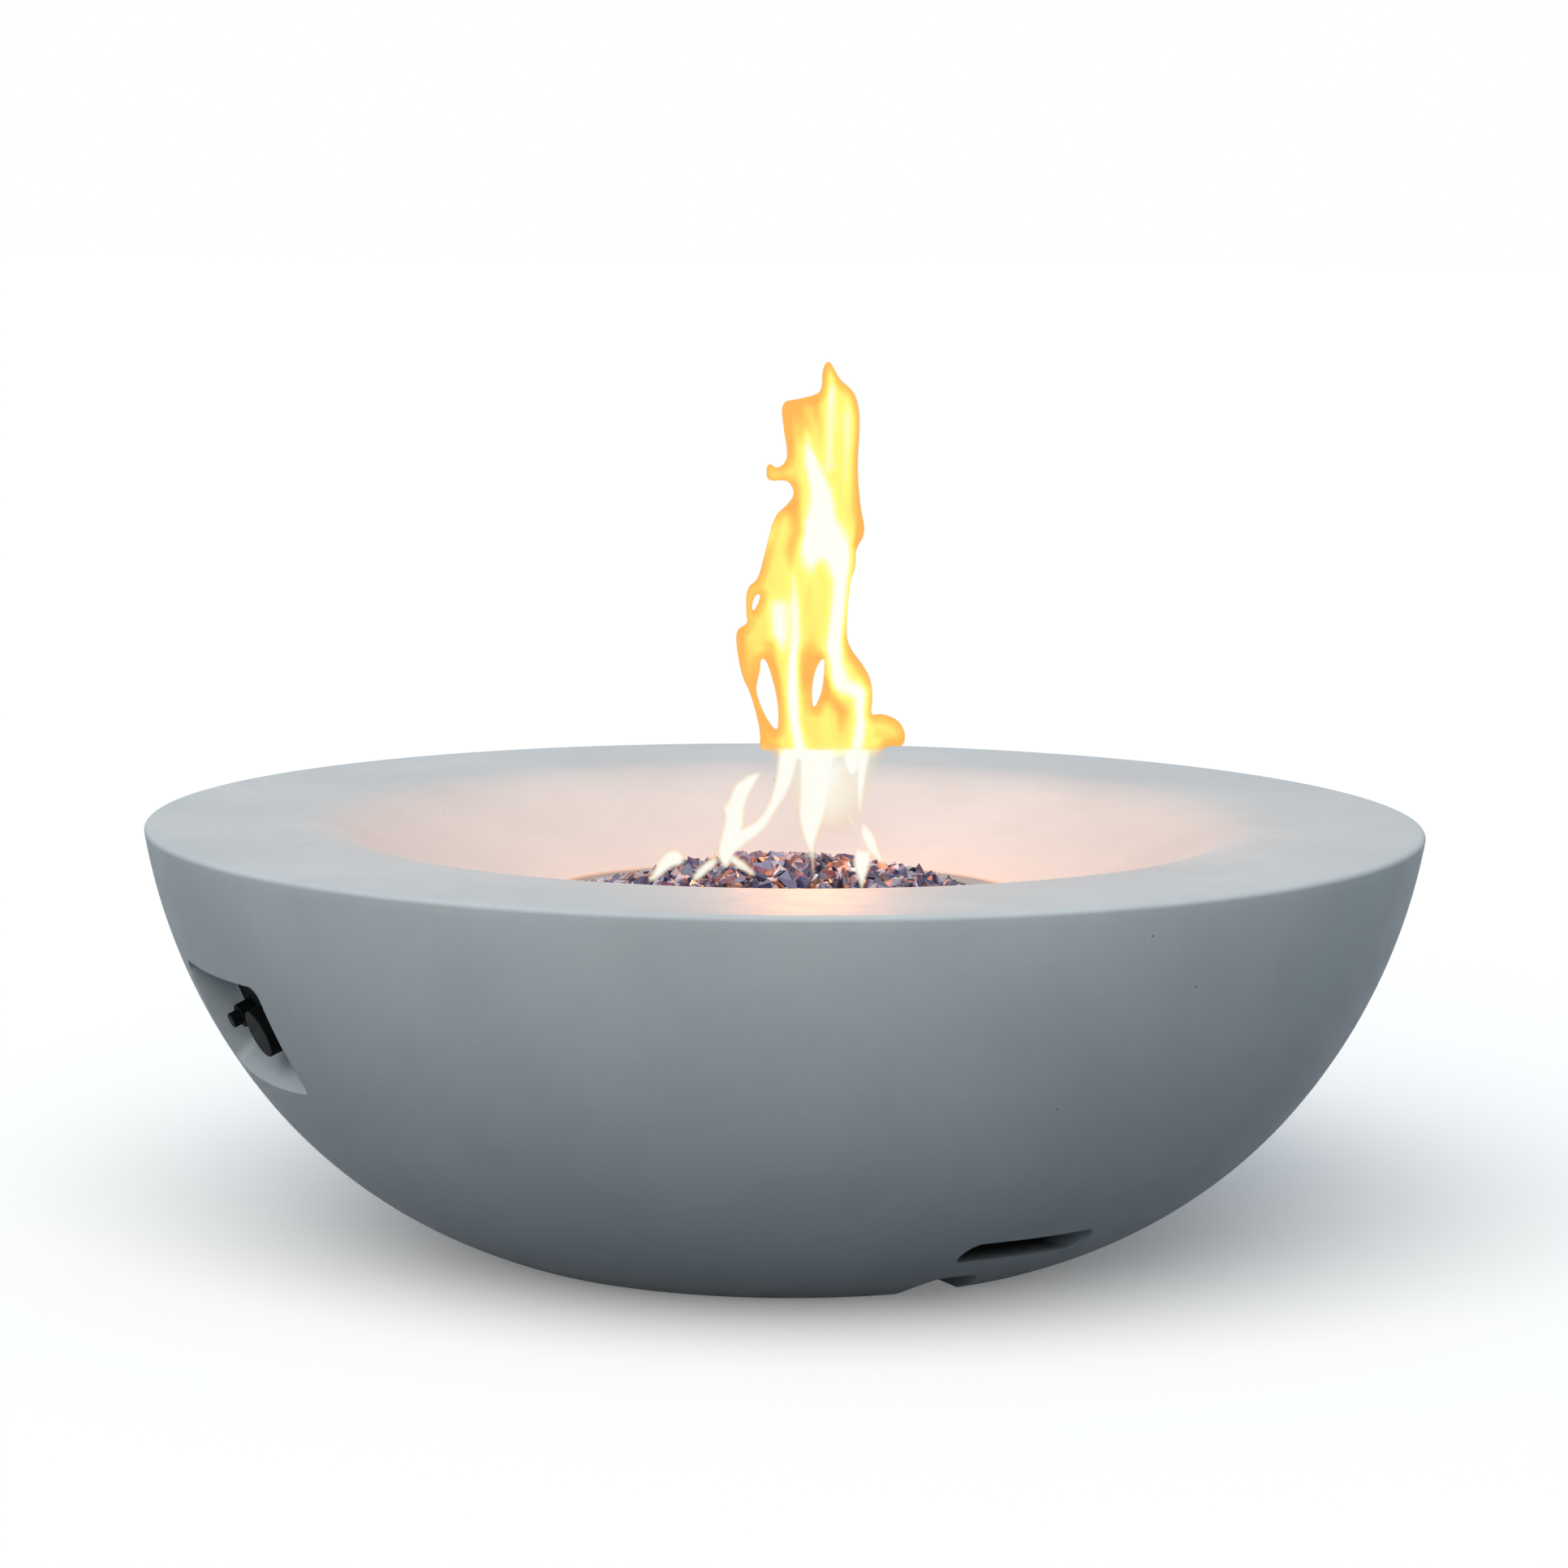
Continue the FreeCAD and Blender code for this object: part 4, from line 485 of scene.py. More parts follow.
def fire_glass_finish(settings):
    """Reflective blue-grey glass; each chunk has its own tone, and some get a coppery tone that
    is painted warm light of the flame.
    """
    g = Graph("glass")
    tone = g.add("ShaderNodeAttribute", attribute_name="tone").outputs["Fac"]
    colour = g.mix(g.ramp(tone, 0.0, 0.55, 0.0, 1.0), tuple(settings.glass_dark),
                   tuple(settings.glass_light))
    colour = g.mix(g.ramp(tone, 0.6, 0.66, 0.0, 1.0), colour, srgb(150, 150, 166))
    colour = g.mix(g.ramp(tone, 0.74, 0.77, 0.0, 1.0), colour, srgb(60, 60, 74))
    # Painted light: a coppery tone on some chunks, standing for the flame's warm light
    colour = g.mix(g.ramp(tone, 0.82, 0.85, 0.0, 1.0), colour,
                   tuple(settings.glass_painted_flame_warmth))
    cloud = g.ramp(g.noise(160.0, 2.0), 0.35, 0.65, 0.75, 1.15)
    shade = g.add("ShaderNodeVectorMath", operation="SCALE")
    g.link(colour, shade.inputs[0])
    g.link(cloud, shade.inputs["Scale"])
    rough = g.ramp(g.noise(120.0, 2.0), 0.3, 0.7, 0.08, 0.26)
    normal = g.bump(g.noise(260.0, 2.0), 0.0006, None, 0.5)
    return g.finish(Base_Color=shade.outputs[0], Metallic=0.35, Roughness=rough,
                    Normal=normal, Coat_Weight=0.6, Coat_Roughness=0.05)


def metal(name, light, dark, rough, spread=0.08, grain=60.0, metallic=1.0, stretch=(1, 1, 1)):
    """Metal with cloudy tone and roughness and a fine grain."""
    g = Graph(name)
    colour = g.mix(g.ramp(g.noise(22.0, 3.0), 0.3, 0.7, 0.0, 1.0), srgb(*dark), srgb(*light))
    fine = g.noise(grain * 12, 2.0, 0.6, stretch)
    roughness = g.ramp(g.noise(grain, 3.0, 0.5, stretch), 0.3, 0.7, rough - spread,
                       rough + spread)
    normal = g.bump(fine, 0.00008, None, 0.4)
    return g.finish(Base_Color=colour, Metallic=metallic, Roughness=roughness,
                    Normal=normal)


def coat(name, light, dark, rough, pits=900.0, depth=0.00008, sheen=0.5):
    """Paint, plastic, rubber or ceramic: cloudy tone, fine skin."""
    g = Graph(name)
    colour = g.mix(g.ramp(g.noise(30.0, 3.0), 0.35, 0.65, 0.0, 1.0), srgb(*dark),
                   srgb(*light))
    wear = g.ramp(g.noise(140.0, 3.0), 0.3, 0.7, rough - 0.06, rough + 0.08)
    normal = g.bump(g.noise(pits, 2.0), depth, None, 0.5)
    return g.finish(Base_Color=colour, Roughness=wear, Normal=normal,
                    Specular_IOR_Level=sheen)


def finishes(settings):
    """Material of every slot in the record."""
    return {
        "concrete": concrete(settings),
        "glass": fire_glass_finish(settings),
        "black_steel": coat("black_steel", (22, 25, 27), (15, 17, 19), 0.62, 1600.0, sheen=0.05),
        "stainless": metal("stainless", (172, 170, 166), (148, 144, 140), 0.34, 0.08, 60,
                           1.0, (1, 1, 8)),
        "zinc_steel": metal("zinc_steel", (186, 190, 194), (160, 164, 170), 0.3),
        "black_plastic": coat("black_plastic", (20, 24, 26), (14, 17, 19), 0.6, sheen=0.04),
        "brass": metal("brass", (188, 152, 78), (164, 128, 60), 0.32),
        "valve_cast": metal("valve_cast", (158, 160, 163), (138, 140, 143), 0.5, 0.08, 90),
        "black_iron": metal("black_iron", (52, 50, 48), (36, 35, 34), 0.6, 0.1, 80, 0.6),
        "rubber": coat("rubber", (28, 28, 30), (20, 20, 21), 0.8),
        "hose_skin": coat("hose_skin", (208, 170, 66), (190, 150, 52), 0.4),
        "ceramic": coat("ceramic", (234, 231, 222), (222, 218, 206), 0.25),
        "lead_skin": coat("lead_skin", (62, 56, 54), (50, 45, 44), 0.7),
        "copper": metal("copper", (196, 126, 84), (166, 98, 64), 0.35),
        "cell": coat("cell", (66, 82, 98), (56, 72, 86), 0.35),
    }


# ---------------------------------------------------------------------------
# Operators
# ---------------------------------------------------------------------------
class FIREBOWL_OT_casting(bpy.types.Operator):
    """Smooth skin of the concrete casting"""

    bl_idname = "firebowl.casting"
    bl_label = "Casting"
    bl_options = {"REGISTER", "UNDO"}

    def execute(self, context):
        s = context.scene.fire_bowl
        skin = turned("casting", casting_profile(s.arc_step), s.turn_steps)
        controls = controls_frame()
        corners = (POCKET_LOW_CORNER, POCKET_HIGH_CORNER)
        block = rounded_outline(*BLOCK_SPAN, *corners)
        boss = lofted("block", [(block, level) for level in BLOCK_LEVELS], controls)
        carve(boss, turned("bounds", wall_bounds(), s.turn_steps), "INTERSECT")
        carve(skin, boss, "UNION")
        sections = []
        for level in POCKET_LEVELS:
            half = POCKET_HALF + level * math.tan(math.radians(SIDE_DRAFT))
            top = POCKET_TOP + level * math.tan(math.radians(TOP_DRAFT))
            sill = POCKET_SILL + level * math.tan(math.radians(SILL_DRAFT))
            sections.append((rounded_outline(-half, half, -sill, top, *corners, 10), level))
        carve(skin, lofted("recess", sections, controls), "DIFFERENCE")
        window = rounded_outline(*WINDOW_SPAN, WINDOW_CORNER, WINDOW_CORNER)
        tools = [lofted("window", [(window, level) for level in WINDOW_LEVELS], controls)]
        vent = rounded_outline(*VENT_SPAN, VENT_CORNER, VENT_CORNER)
        notch = rounded_outline(*NOTCH_SPAN, *NOTCH_CORNERS)
        slots = [(vent, azimuth) for azimuth in VENT_AZIMUTHS] + [(notch, NOTCH_AZIMUTH)]
        for shape, azimuth in slots:
            tools.append(lofted("slot", [(shape, level) for level in SLOT_LEVELS],
                                upright_frame(azimuth)))
        pad = FOOT_PAD_R * np.array([(cos(a), sin(a)) for a in range(0, 360, 10)])
        for angle in (45, 135, 225, 315):
            centre = FOOT_CIRCLE_R * np.array((cos(angle), sin(angle)))
            tools.append(lofted("pocket", [(pad + centre, level) for level in FOOT_LEVELS],
                                Matrix.Identity(4)))
        carve(skin, joined(tools), "DIFFERENCE")
        skin.data.polygons.foreach_set("use_smooth", [True] * len(skin.data.polygons))
        skin.data.set_sharp_from_angle(angle=math.radians(30))
        show(skin, "bowl", "concrete", "bowl_shell", "bowl_dish")
        return {"FINISHED"}


def heap_z(r):
    """Level of the glass heap: z = edge + rise (1 - (r / R)^2)^power."""
    return HEAP_EDGE_Z + HEAP_RISE * np.maximum(1 - (r / HEAP_R) ** 2, 0) ** HEAP_POWER


def chunk_shape(rng):
    """Convex splinter of broken glass of unit size: hull of a few random points."""
    b = bmesh.new()
    count = rng.integers(7, 11)
    spots = rng.normal(0, 1, (count, 3))
    spots *= (0.5 + 0.15 * rng.random((count, 1))) / np.linalg.norm(spots, axis=1)[:, None]
    spots *= np.array((1.15, 0.95, 0.75))
    for spot in spots:
        b.verts.new(spot)
    bmesh.ops.convex_hull(b, input=b.verts)
    loose = [v for v in b.verts if not v.link_faces]
    bmesh.ops.delete(b, geom=loose, context="VERTS")
    b.verts.index_update()
    points = np.array([v.co for v in b.verts])
    faces = np.array([[v.index for v in f.verts] for f in b.faces])
    b.free()
    return points, faces


def random_turns(rng, count):
    """Evenly spread random rotation matrices."""
    q = rng.normal(0, 1, (count, 4))
    q /= np.linalg.norm(q, axis=1)[:, None]
    w, x, y, z = q.T
    rows = [[1 - 2 * (y * y + z * z), 2 * (x * y - z * w), 2 * (x * z + y * w)],
            [2 * (x * y + z * w), 1 - 2 * (x * x + z * z), 2 * (y * z - x * w)],
            [2 * (x * z - y * w), 2 * (y * z + x * w), 1 - 2 * (x * x + y * y)]]
    return np.moveaxis(np.array(rows), 2, 0)


class FIREBOWL_OT_glass(bpy.types.Operator):
    """Heap of loose fire glass over the burner"""

    bl_idname = "firebowl.glass"
    bl_label = "Fire glass"
    bl_options = {"REGISTER", "UNDO"}

    def execute(self, context):
        s = context.scene.fire_bowl
        rng = np.random.default_rng(s.seed)
        shapes = [chunk_shape(rng) for _ in range(s.chunk_shapes)]
        count = s.chunk_count
        r = CHUNK_REACH * np.sqrt(rng.random(count))
        t = rng.random(count) * 2 * np.pi
        size = s.chunk_size * rng.uniform(0.7, 1.3, count)
        z = heap_z(r) - size * 0.3 - rng.uniform(0, CHUNK_SCATTER, count)
        spots = np.c_[r * np.cos(t), r * np.sin(t), z]
        turns = random_turns(rng, count)
        kinds = rng.integers(0, len(shapes), count)
        tones = rng.random(count)
        points, faces, tone, start = [], [], [], 0
        for k in range(count):
            shape, skin = shapes[kinds[k]]
            placed = shape @ turns[k].T * size[k] + spots[k]
            points.append(placed)
            faces.append(skin + start)
            tone += [tones[k]] * len(placed)
            start += len(placed)
        rings = np.r_[0.5, np.linspace(10, BED_R, 30)]
        steps = 72
        a = np.arange(steps) * 2 * np.pi / steps
        for ring in rings:
            low = np.full(steps, float(heap_z(np.array(ring))) - BED_DEPTH)
            points.append(np.c_[ring * np.cos(a), ring * np.sin(a), low])
        tone += [0.8] * (len(rings) * steps)
        bed = [list(np.array(f) + start) for f in ring_faces(len(rings), steps, False)]
        every = [list(map(int, f)) for part in faces for f in part] + bed
        heap = new_object("glass_heap", np.concatenate(points), every, smooth=False)
        layer = heap.data.attributes.new("tone", "FLOAT", "POINT")
        layer.data.foreach_set("value", tone)
        show(heap, "bowl", "glass", "fire_glass")
        return {"FINISHED"}


class FIREBOWL_OT_finishes(bpy.types.Operator):
    """Finish of every piece, CAD nodes included"""

    bl_idname = "firebowl.finishes"
    bl_label = "Finishes"
    bl_options = {"REGISTER", "UNDO"}

    def execute(self, context):
        made = finishes(context.scene.fire_bowl)
        slots = {p["node"]: p["material_slot"] for p in frame["record"]["subparts"]}
        for name, piece in frame["nodes"].items():
            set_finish(piece, slots[name])
            smooth = [True] * len(piece.data.polygons)
            piece.data.polygons.foreach_set("use_smooth", smooth)
            piece.data.set_sharp_from_angle(angle=math.radians(30))
        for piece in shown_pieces():
            piece.data.materials.clear()
            piece.data.materials.append(made[piece["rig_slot"]])
        return {"FINISHED"}


# Outlines of the flame (x, z in mm), drawn as closed loops of points
FLAME_BODY = [
    (-22, 409), (-21, 427), (-30, 460), (-37, 472), (-42, 498), (-42, 513), (-32, 517),
    (-34, 527), (-34, 540), (-32, 549), (-24, 554), (-18, 579), (-11, 608), (0, 617),
    (6, 626), (3, 634), (-2, 638), (-17, 636), (-18, 648), (-15, 652), (-9, 647),
    (-2, 652), (0, 660), (-4, 682), (-6, 703), (8, 705), (24, 709), (28, 714), (28, 730),
    (33, 738), (38, 731), (43, 721), (54, 713), (59, 700), (60, 683), (58, 648), (61, 615),
    (66, 594), (57, 580), (58, 566), (53, 554), (50, 514), (52, 499), (64, 484), (71, 472),
    (73, 457), (71, 440), (79, 443), (94, 438), (101, 426), (99, 414), (86, 416), (78, 409),
    (50, 404), (20, 400), (-6, 404), (-7, 412)]
FLAME_HOLES = [
    [(-21, 490), (-15, 484), (-7, 454), (-6, 436), (-7, 426), (-16, 437), (-24, 456),
     (-25, 465), (-22, 476)],
    [(32, 491), (32, 478), (30, 460), (26, 451), (24, 446), (22, 452), (22, 466), (25, 481)],
    [(-23, 544), (-22, 538), (-28, 527), (-29, 530), (-28, 538)]]
FLAME_FEET = [
    [(-18, 394), (-31, 391), (-44, 382), (-49, 366), (-55, 362), (-51, 358), (-53, 344),
     (-57, 330), (-57, 316), (-48, 308), (-42, 320), (-39, 331), (-33, 345), (-33, 366),
     (-22, 386)],
    [(-56, 322), (-44, 320), (-30, 333), (-17, 342), (-6, 360), (6, 380), (12, 400),
     (14, 425), (-8, 425), (-7, 400), (-11, 376), (-20, 355), (-34, 346), (-48, 340)],
    [(10, 425), (11, 380), (10, 354), (14, 338), (21, 322), (24, 300), (26, 300), (25, 322),
     (28, 338), (35, 356), (40, 382), (46, 425)],
    [(44, 425), (46, 404), (53, 386), (62, 392), (66, 404), (67, 425)],
    [(60, 425), (58, 390), (61, 352), (66, 351), (76, 342), (80, 328), (86, 312), (76, 318),
     (66, 331), (62, 343), (65, 360), (68, 385), (76, 425)],
    [(52, 362), (56, 356), (62, 344), (57, 345), (52, 354)],
    [(57, 320), (60, 330), (66, 326), (73, 330), (74, 316), (69, 302), (66, 292), (64, 292),
     (61, 302), (57, 312)],
    [(-117, 296), (-110, 312), (-101, 325), (-90, 328), (-82, 319), (-86, 312), (-96, 310),
     (-106, 300)],
    [(-81, 298), (-73, 312), (-57, 323), (-54, 315), (-62, 308), (-72, 299)],
    [(-50, 326), (-38, 321), (-24, 308), (-24, 302), (-36, 308), (-48, 315)]]
# Grid step, bulge, top of the feet, and how the feet lean: from which height, over what
# height and how far
FLAME_STEP, FLAME_BULGE, FEET_TOP = 1.6, 3.2, 412
LEAN_TOP, LEAN_DROP, LEAN_REACH = 345, 45, 95
# Faint glow between the feet
FLAME_HAZE = [(-14, 425), (-10, 400), (2, 378), (8, 356), (20, 340), (40, 340), (60, 352),
              (72, 380), (80, 404), (80, 425)]
# Hot and cool streaks of the flame: (x, z, half width, strength) along each
FLAME_STREAKS = [
    [(13, 668, 3, 0.1), (20, 650, 6, 0.6), (28, 627, 9, 0.8), (30, 603, 12, 0.9),
     (35, 588, 15, 0.9), (44, 576, 12, 0.9), (47, 555, 8, 0.8), (45, 531, 8, 0.8),
     (41, 507, 8, 0.8), (40, 487, 9, 0.7), (47, 469, 10, 0.7), (62, 460, 8, 0.7),
     (63, 439, 6, 0.6), (60, 415, 5, 0.6)],
    [(20, 600, 6, 0.4), (20, 579, 7, 0.5), (18, 561, 5, 0.1)],
    [(5, 573, 1.5, 0.0), (6, 555, 3, 0.3), (7, 537, 4, 0.4), (8, 507, 4, 0.5),
     (6, 484, 4, 0.7), (6, 460, 5, 0.8), (8, 436, 5, 0.7), (13, 410, 6, 0.7)],
    [(-10, 606, 2, 0.1), (-14, 591, 3, 0.5), (-18, 573, 2, 0.1)],
    [(-15, 540, 7, 0.1), (-7, 531, 9, 0.5), (-5, 510, 7, 0.5), (-3, 493, 3, 0.1)],
    [(12, 690, 2, 0.0), (16, 674, 3, 0.3), (20, 655, 4, 0.4)],
    [(35, 730, 2, 0.1), (36, 713, 4, 0.35), (35, 686, 4, 0.3), (35, 650, 5, 0.3)],
    [(50, 709, 4, 0.1), (51, 690, 6, 0.3), (51, 642, 6, 0.2), (54, 610, 3, 0.0)],
    [(7, 700, 8, -0.45), (13, 683, 6, -0.3), (8, 664, 4, 0.0)],
    [(-1, 700, 4, -0.3), (1, 676, 4, -0.2), (4, 655, 3, 0.0)],
    [(22, 704, 5, -0.4), (27, 680, 3, -0.15), (28, 660, 2, 0.0)],
    [(5, 616, 6, -0.5), (9, 597, 6, -0.4), (2, 579, 5, -0.3), (4, 560, 3, 0.0)],
    [(22, 508, 4, -0.1), (20, 492, 8, -0.5), (17, 475, 5, -0.5), (14, 458, 3, 0.0)],
    [(33, 470, 3, -0.3), (35, 460, 6, -0.5), (47, 445, 5, -0.45), (47, 426, 4, 0.0)],
    [(-14, 500, 5, -0.3), (-10, 478, 4, -0.5), (-7, 455, 2, -0.4)],
    [(-37, 508, 7, -0.35), (-30, 478, 5, -0.3), (-26, 448, 3, -0.3), (-13, 420, 7, -0.3)],
    [(80, 426, 5, -0.15), (95, 418, 6, -0.35)],
    [(61, 610, 3, 0.0), (62, 597, 5, -0.35), (58, 584, 3, -0.2)],
]


def rounded(loop, rounds=2):
    """Closed loop with its corners cut twice, a quarter of each side at a time."""
    loop = np.array(loop, float)
    for _ in range(rounds):
        after = np.roll(loop, -1, axis=0)
        loop = np.stack([0.75 * loop + 0.25 * after, 0.25 * loop + 0.75 * after],
                        1).reshape(-1, 2)
    return loop


def depth_in(loop, x, z):
    """Distance to a closed loop, above zero inside it and below zero outside."""
    loop = rounded(loop)
    best = np.full(x.shape, 1e9)
    inside = np.zeros(x.shape, bool)
    for (ax, az), (bx, bz) in zip(loop, np.roll(loop, -1, axis=0)):
        dx, dz = bx - ax, bz - az
        u = np.clip(((x - ax) * dx + (z - az) * dz) / (dx * dx + dz * dz), 0, 1)
        best = np.minimum(best, np.hypot(x - ax - u * dx, z - az - u * dz))
        crosses = (az > z) != (bz > z)
        inside ^= crosses & (x < ax + (z - az) * dx / (dz if dz else 1e-9))
    return np.where(inside, best, -best)


def streak_heat(x, z):
    """Sum of the streaks: strength times exp(-(distance / half width)^2) of each."""
    heat = np.zeros(x.shape)
    for spine in FLAME_STREAKS:
        near = np.zeros(x.shape)
        for (ax, az, aw, ah), (bx, bz, bw, bh) in zip(spine, spine[1:]):
            dx, dz = bx - ax, bz - az
            u = np.clip(((x - ax) * dx + (z - az) * dz) / (dx * dx + dz * dz), 0, 1)
            away = np.hypot(x - ax - u * dx, z - az - u * dz) / (aw + u * (bw - aw))
            share = (ah + u * (bh - ah)) * np.exp(-away ** 2)
            near = np.where(np.abs(share) > np.abs(near), share, near)
        heat += near
    return heat


def flame_finish():
    """Glow, orange at the rim of the flame and white in its hot streaks.

    Above the bowl it hides what is behind it; lower down it is a pale, clear veil.
    """
    g = Graph("flame")
    g.tree.nodes.remove(g.shader)
    height = g.add("ShaderNodeSeparateXYZ")
    g.link(g.place, height.inputs[0])
    rise = g.ramp(height.outputs["Z"], 0.405, 0.416, 0.0, 1.0)
    edge = g.add("ShaderNodeAttribute", attribute_name="edge").outputs["Fac"]
    heat = g.add("ShaderNodeAttribute", attribute_name="warmth").outputs["Fac"]
    streak = g.ramp(g.noise(60.0, 3.0, 0.5, (1, 0.4, 0.16)), 0.3, 0.7, -0.14, 0.14)
    heat = g.math("ADD", g.math("ADD", heat, streak), g.ramp(edge, 0.0, 9.0, 0.0, 0.5))
    colour = g.mix(g.ramp(heat, 0.0, 0.32, 0.0, 1.0), srgb(255, 186, 92),
                   srgb(255, 216, 104))
    colour = g.mix(g.ramp(heat, 0.3, 0.6, 0.0, 1.0), colour, srgb(255, 252, 128))
    colour = g.mix(g.ramp(heat, 0.65, 1.05, 0.0, 1.0), colour, srgb(255, 255, 246))
    pale = g.mix(g.ramp(heat, 0.0, 0.2, 0.0, 1.0), srgb(255, 206, 140),
                 srgb(255, 238, 196))
    pale = g.mix(g.ramp(heat, 0.2, 0.5, 0.0, 1.0), pale, srgb(255, 254, 244))
    mirrored = g.add("ShaderNodeLightPath").outputs["Is Glossy Ray"]
    colour = g.mix(mirrored, g.mix(rise, pale, colour), srgb(255, 108, 44))
    glow = g.add("ShaderNodeEmission")
    g.link(colour, glow.inputs["Color"])
    g.link(g.ramp(mirrored, 0.0, 1.0, 1.0, 1.7), glow.inputs["Strength"])
    veil = g.math("MULTIPLY", g.ramp(edge, -0.4, 5.0, 0.0, 1.0),
                  g.ramp(heat, 0.0, 0.45, 0.6, 1.0))
    share = g.add("ShaderNodeMix")
    g.link(rise, share.inputs[0])
    g.link(veil, share.inputs[2])
    g.link(g.ramp(edge, -0.3, 0.7, 0.0, 1.0), share.inputs[3])
    clear = g.add("ShaderNodeBsdfTransparent")
    mixed = g.add("ShaderNodeMixShader")
    g.link(share.outputs[0], mixed.inputs[0])
    g.link(clear.outputs[0], mixed.inputs[1])
    g.link(glow.outputs[0], mixed.inputs[2])
    g.link(mixed.outputs[0], g.tree.nodes["Material Output"].inputs[0])
    return g.material


def shown_rays(tree, light, shown):
    """Colour for soft bounce, and another for what camera and mirrors see."""
    path = tree.nodes.new("ShaderNodeLightPath")
    last = path.outputs["Is Camera Ray"]
    for name in ("Is Glossy Ray", "Is Transmission Ray"):
        either = tree.nodes.new("ShaderNodeMath")
        either.operation = "MAXIMUM"
        tree.links.new(last, either.inputs[0])
        tree.links.new(path.outputs[name], either.inputs[1])
        last = either.outputs[0]
    tone = tree.nodes.new("ShaderNodeMix")
    tone.data_type = "RGBA"
    tree.links.new(last, tone.inputs[0])
    tone.inputs[6].default_value = light
    tone.inputs[7].default_value = shown
    return tone.outputs[2]


class FIREBOWL_OT_stage(bpy.types.Operator):
    """Pale floor, soft light, flame and camera; none of it is part of the bowl"""

    bl_idname = "firebowl.stage"
    bl_label = "Stage"
    bl_options = {"REGISTER", "UNDO"}

    def execute(self, context):
        s = context.scene.fire_bowl
        scene = context.scene
        scene.view_settings.view_transform = "Standard"
        self.floor()
        self.sky(scene, s.sky_level)
        self.key(scene)
        self.flame()
        self.camera(scene)
        return {"FINISHED"}

    def floor(self):
        """Wide floor: pale to the camera and in reflections, dark to soft bounce."""
        size = 40000.0
        corners = [(-size, -size, 0), (size, -size, 0), (size, size, 0), (-size, size, 0)]
        floor = new_object("floor", corners, [(0, 1, 2, 3)], smooth=False)
        material = bpy.data.materials.new("floor")
        material.use_nodes = True
        tree = material.node_tree
        surface = tree.nodes["Principled BSDF"]
        looks = shown_rays(tree, srgb(76, 86, 96), (1.0, 0.965, 0.935, 1))
        tree.links.new(looks, surface.inputs["Base Color"])
        lift = shown_rays(tree, (0, 0, 0, 1), (0.18, 0.18, 0.18, 1))
        tree.links.new(lift, surface.inputs["Emission Color"])
        surface.inputs["Emission Strength"].default_value = 1.0
        surface.inputs["Roughness"].default_value = 1.0
        surface.inputs["Specular IOR Level"].default_value = 0.0
        floor.data.materials.append(material)
        floor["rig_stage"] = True

    def sky(self, scene, level):
        """Even overhead light; the camera and reflections see plain white."""
        world = bpy.data.worlds.new("studio")
        world.use_nodes = True
        tree = world.node_tree
        back = tree.nodes["Background"]
        light = (0.25 * level, 0.325 * level, 0.4 * level, 1)
        tree.links.new(shown_rays(tree, light, (1, 1, 1, 1)), back.inputs["Color"])
        scene.world = world

    def key(self, scene):
        """Wide, soft and slightly warm light from high in front, a little to the left."""
        lamp = bpy.data.lights.new("key", "SUN")
        lamp.energy, lamp.color, lamp.angle = 2.45, (1.0, 0.975, 0.91), 1.2
        sun = bpy.data.objects.new("key", lamp)
        sun.rotation_euler = Vector((-0.12, -0.52, 0.57)).to_track_quat("Z", "Y").to_euler()
        scene.collection.objects.link(sun)

    def flame(self):
        """Flame as a closed lens over its outline, and the light that it gives.

        y = +-bulge sqrt(d) at a depth d inside the outline, on an even grid of x and z.
        The feet lean forward, to the front of the burner ring: the points slide along
        straight lines to the eye, so the outline stays as drawn.
        """
        x, z = np.meshgrid(np.arange(-122, 108, FLAME_STEP),
                           np.arange(290, 744, FLAME_STEP))
        edge = depth_in(FLAME_BODY, x, z)
        for hole in FLAME_HOLES:
            edge = np.minimum(edge, -depth_in(hole, x, z))
        heat = streak_heat(x, z)
        for foot in FLAME_FEET:
            depth = depth_in(foot, x, z)
            edge = np.maximum(edge, depth)
            heat += 0.6 * np.clip(depth / 6, 0, 1) * (z < FEET_TOP)
        haze = depth_in(FLAME_HAZE, x, z)
        edge = np.maximum(edge, 0.1 * haze)
        faint = np.maximum(heat, 0.25 * np.clip(haze / 12, 0, 1))
        heat = np.where(z < FEET_TOP, faint, heat)
        deep = FLAME_BULGE * np.sqrt(np.maximum(edge, 0.0))
        rows, columns = x.shape
        kept = (edge[:-1, :-1] > -1.5) | (edge[1:, 1:] > -1.5)
        first = (np.arange(rows - 1)[:, None] * columns + np.arange(columns - 1))[kept]
        back = np.stack([first, first + columns, first + columns + 1, first + 1], 1)
        front = back[:, ::-1] + rows * columns
        lean = -LEAN_REACH * np.clip((LEAN_TOP - z) / LEAN_DROP, 0, 1)
        share = 1 + lean / EYE_BACK
        points = np.concatenate([
            np.stack([x * share, side * deep + lean, EYE_Z + (z - EYE_Z) * share],
                     -1).reshape(-1, 3) for side in (1, -1)])
        made = new_object("flame", points, [tuple(map(int, f)) for f in (*back, *front)])
        for name, values in (("edge", edge), ("warmth", heat)):
            layer = made.data.attributes.new(name, "FLOAT", "POINT")
            layer.data.foreach_set("value", np.tile(values.ravel(), 2))
        made.data.materials.append(flame_finish())
        made.visible_diffuse = False
        made.visible_shadow = False
        made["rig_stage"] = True
        glow = bpy.data.lights.new("flame_glow", "POINT")
        glow.energy, glow.color, glow.shadow_soft_size = 3.6, (1.0, 0.34, 0.1), 0.05
        lamp = bpy.data.objects.new("flame_glow", glow)
        lamp.location = (0.02, 0.0, 0.47)
        bpy.context.scene.collection.objects.link(lamp)

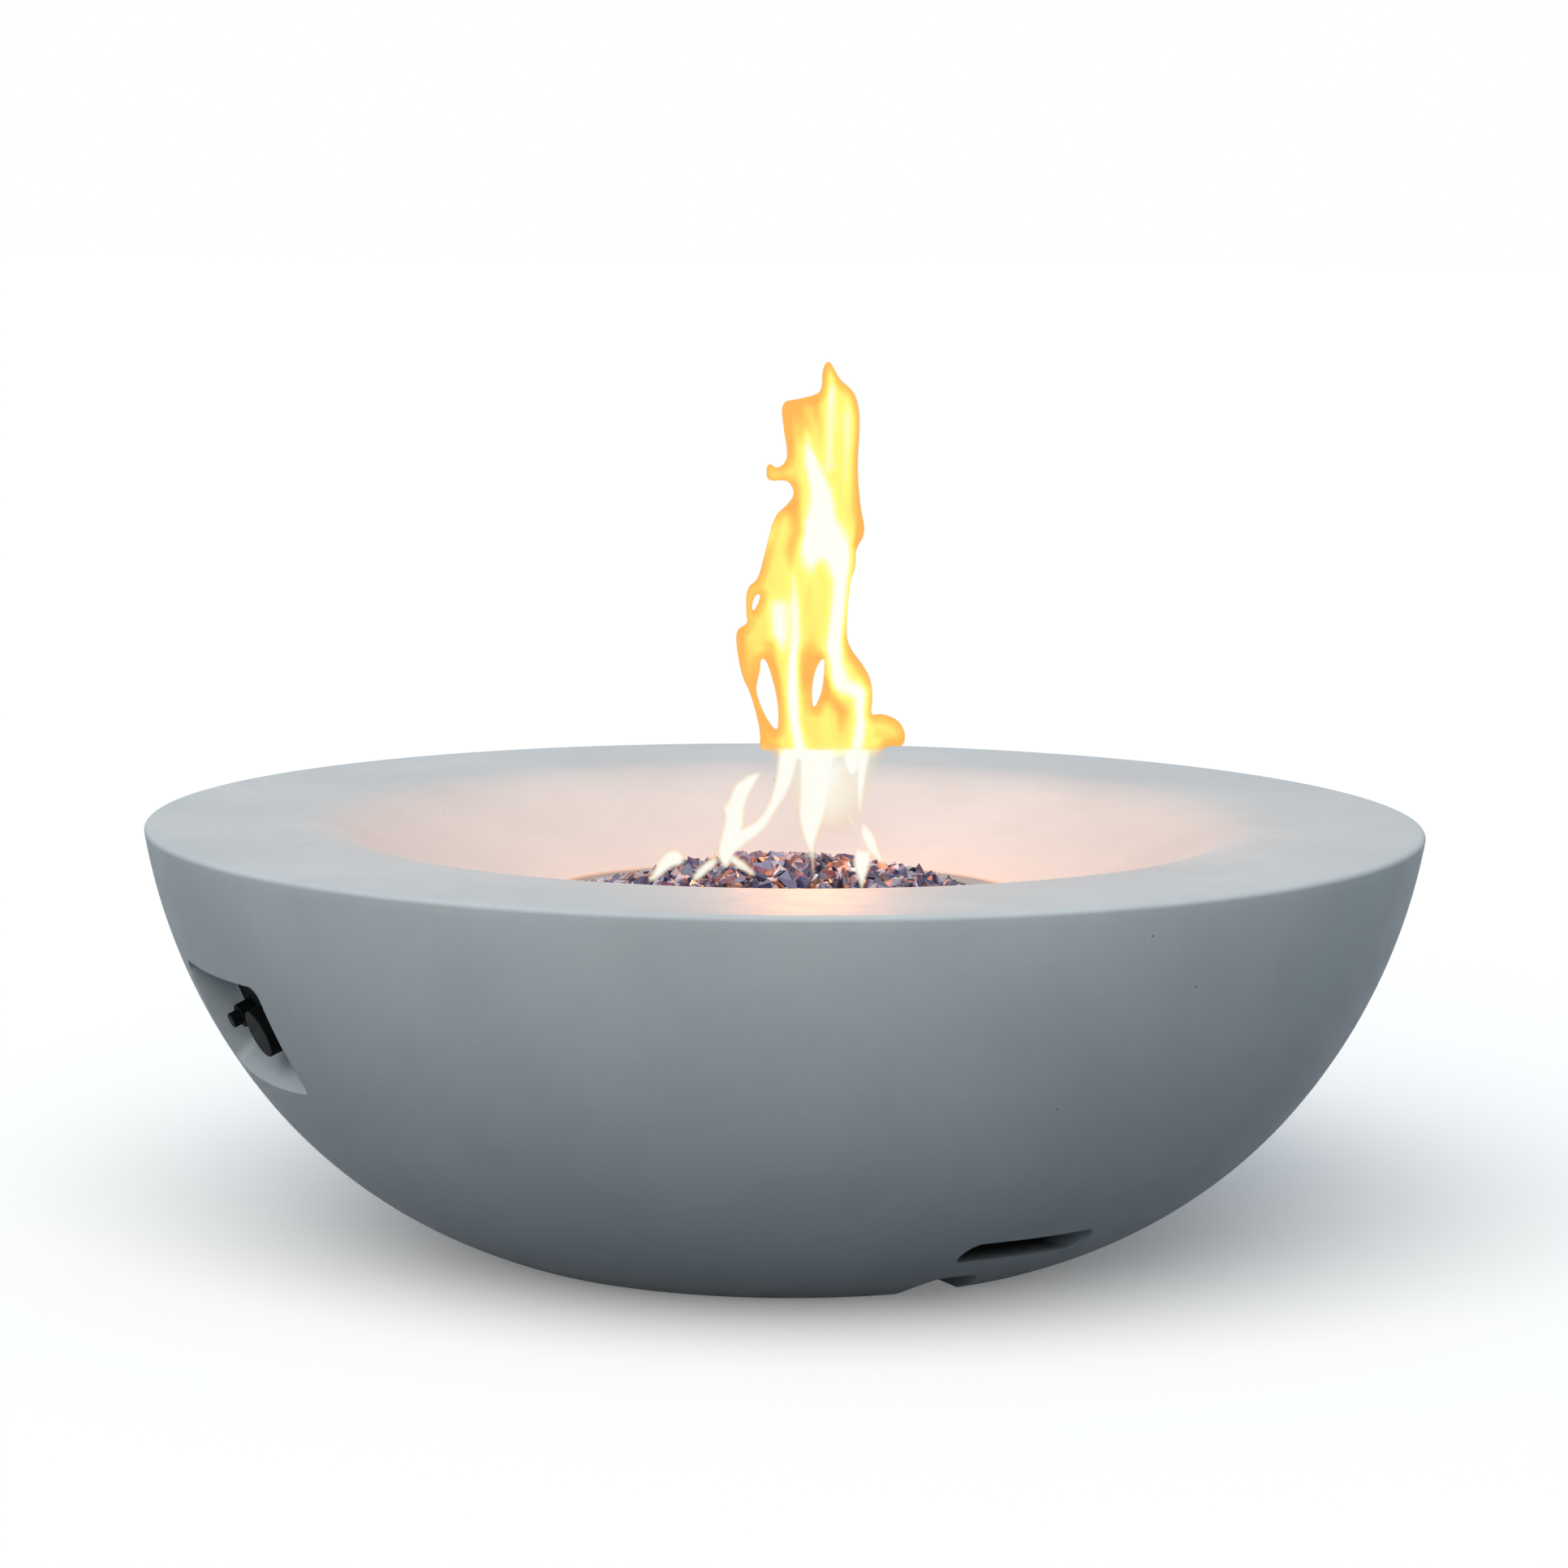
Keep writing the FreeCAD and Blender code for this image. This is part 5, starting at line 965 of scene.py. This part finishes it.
    def camera(self, scene):
        """Camera low in front of the bowl, with a long lens."""
        lens = bpy.data.cameras.new("camera")
        lens.lens, lens.sensor_width = 112.05, 36.0
        lens.clip_start, lens.clip_end = 0.1, 200.0
        camera = bpy.data.objects.new("camera", lens)
        pitch, yaw, roll = (math.radians(v) for v in (7.298, -0.0147, 0.433))
        ahead = Vector((math.sin(yaw) * math.cos(pitch), math.cos(yaw) * math.cos(pitch),
                        -math.sin(pitch)))
        right = Vector((math.cos(yaw), -math.sin(yaw), 0))
        up = right.cross(ahead)
        across = right * math.cos(roll) + up * math.sin(roll)
        above = up * math.cos(roll) - right * math.sin(roll)
        turn = Matrix((across, above, -ahead)).transposed().to_4x4()
        eye = (0, -EYE_BACK / 1000, EYE_Z / 1000)
        camera.matrix_world = Matrix.Translation(eye) @ turn
        scene.collection.objects.link(camera)
        scene.camera = camera


class FIREBOWL_PT_panel(bpy.types.Panel):
    """Settings and one button for each step"""

    bl_label = "Fire Bowl"
    bl_idname = "FIREBOWL_PT_panel"
    bl_space_type = "VIEW_3D"
    bl_region_type = "UI"
    bl_category = "Fire Bowl"

    def draw(self, context):
        settings = context.scene.fire_bowl
        for name in FireBowlSettings.__annotations__:
            self.layout.prop(settings, name)
        for operator in STEPS:
            self.layout.operator(operator.bl_idname)


STEPS = (FIREBOWL_OT_casting, FIREBOWL_OT_glass, FIREBOWL_OT_finishes, FIREBOWL_OT_stage)
CLASSES = (FireBowlSettings, *STEPS, FIREBOWL_PT_panel)


def register():
    """Add the classes and the scene's settings."""
    for item in CLASSES:
        bpy.utils.register_class(item)
    bpy.types.Scene.fire_bowl = bpy.props.PointerProperty(type=FireBowlSettings)


def unregister():
    """Take them away again."""
    del bpy.types.Scene.fire_bowl
    for item in reversed(CLASSES):
        bpy.utils.unregister_class(item)


def main():
    """Build everything through the operators."""
    register()
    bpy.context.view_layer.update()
    bpy.ops.firebowl.casting()
    bpy.ops.firebowl.glass()
    bpy.ops.firebowl.finishes()
    bpy.ops.firebowl.stage()


if __name__ == "__main__":
    main()
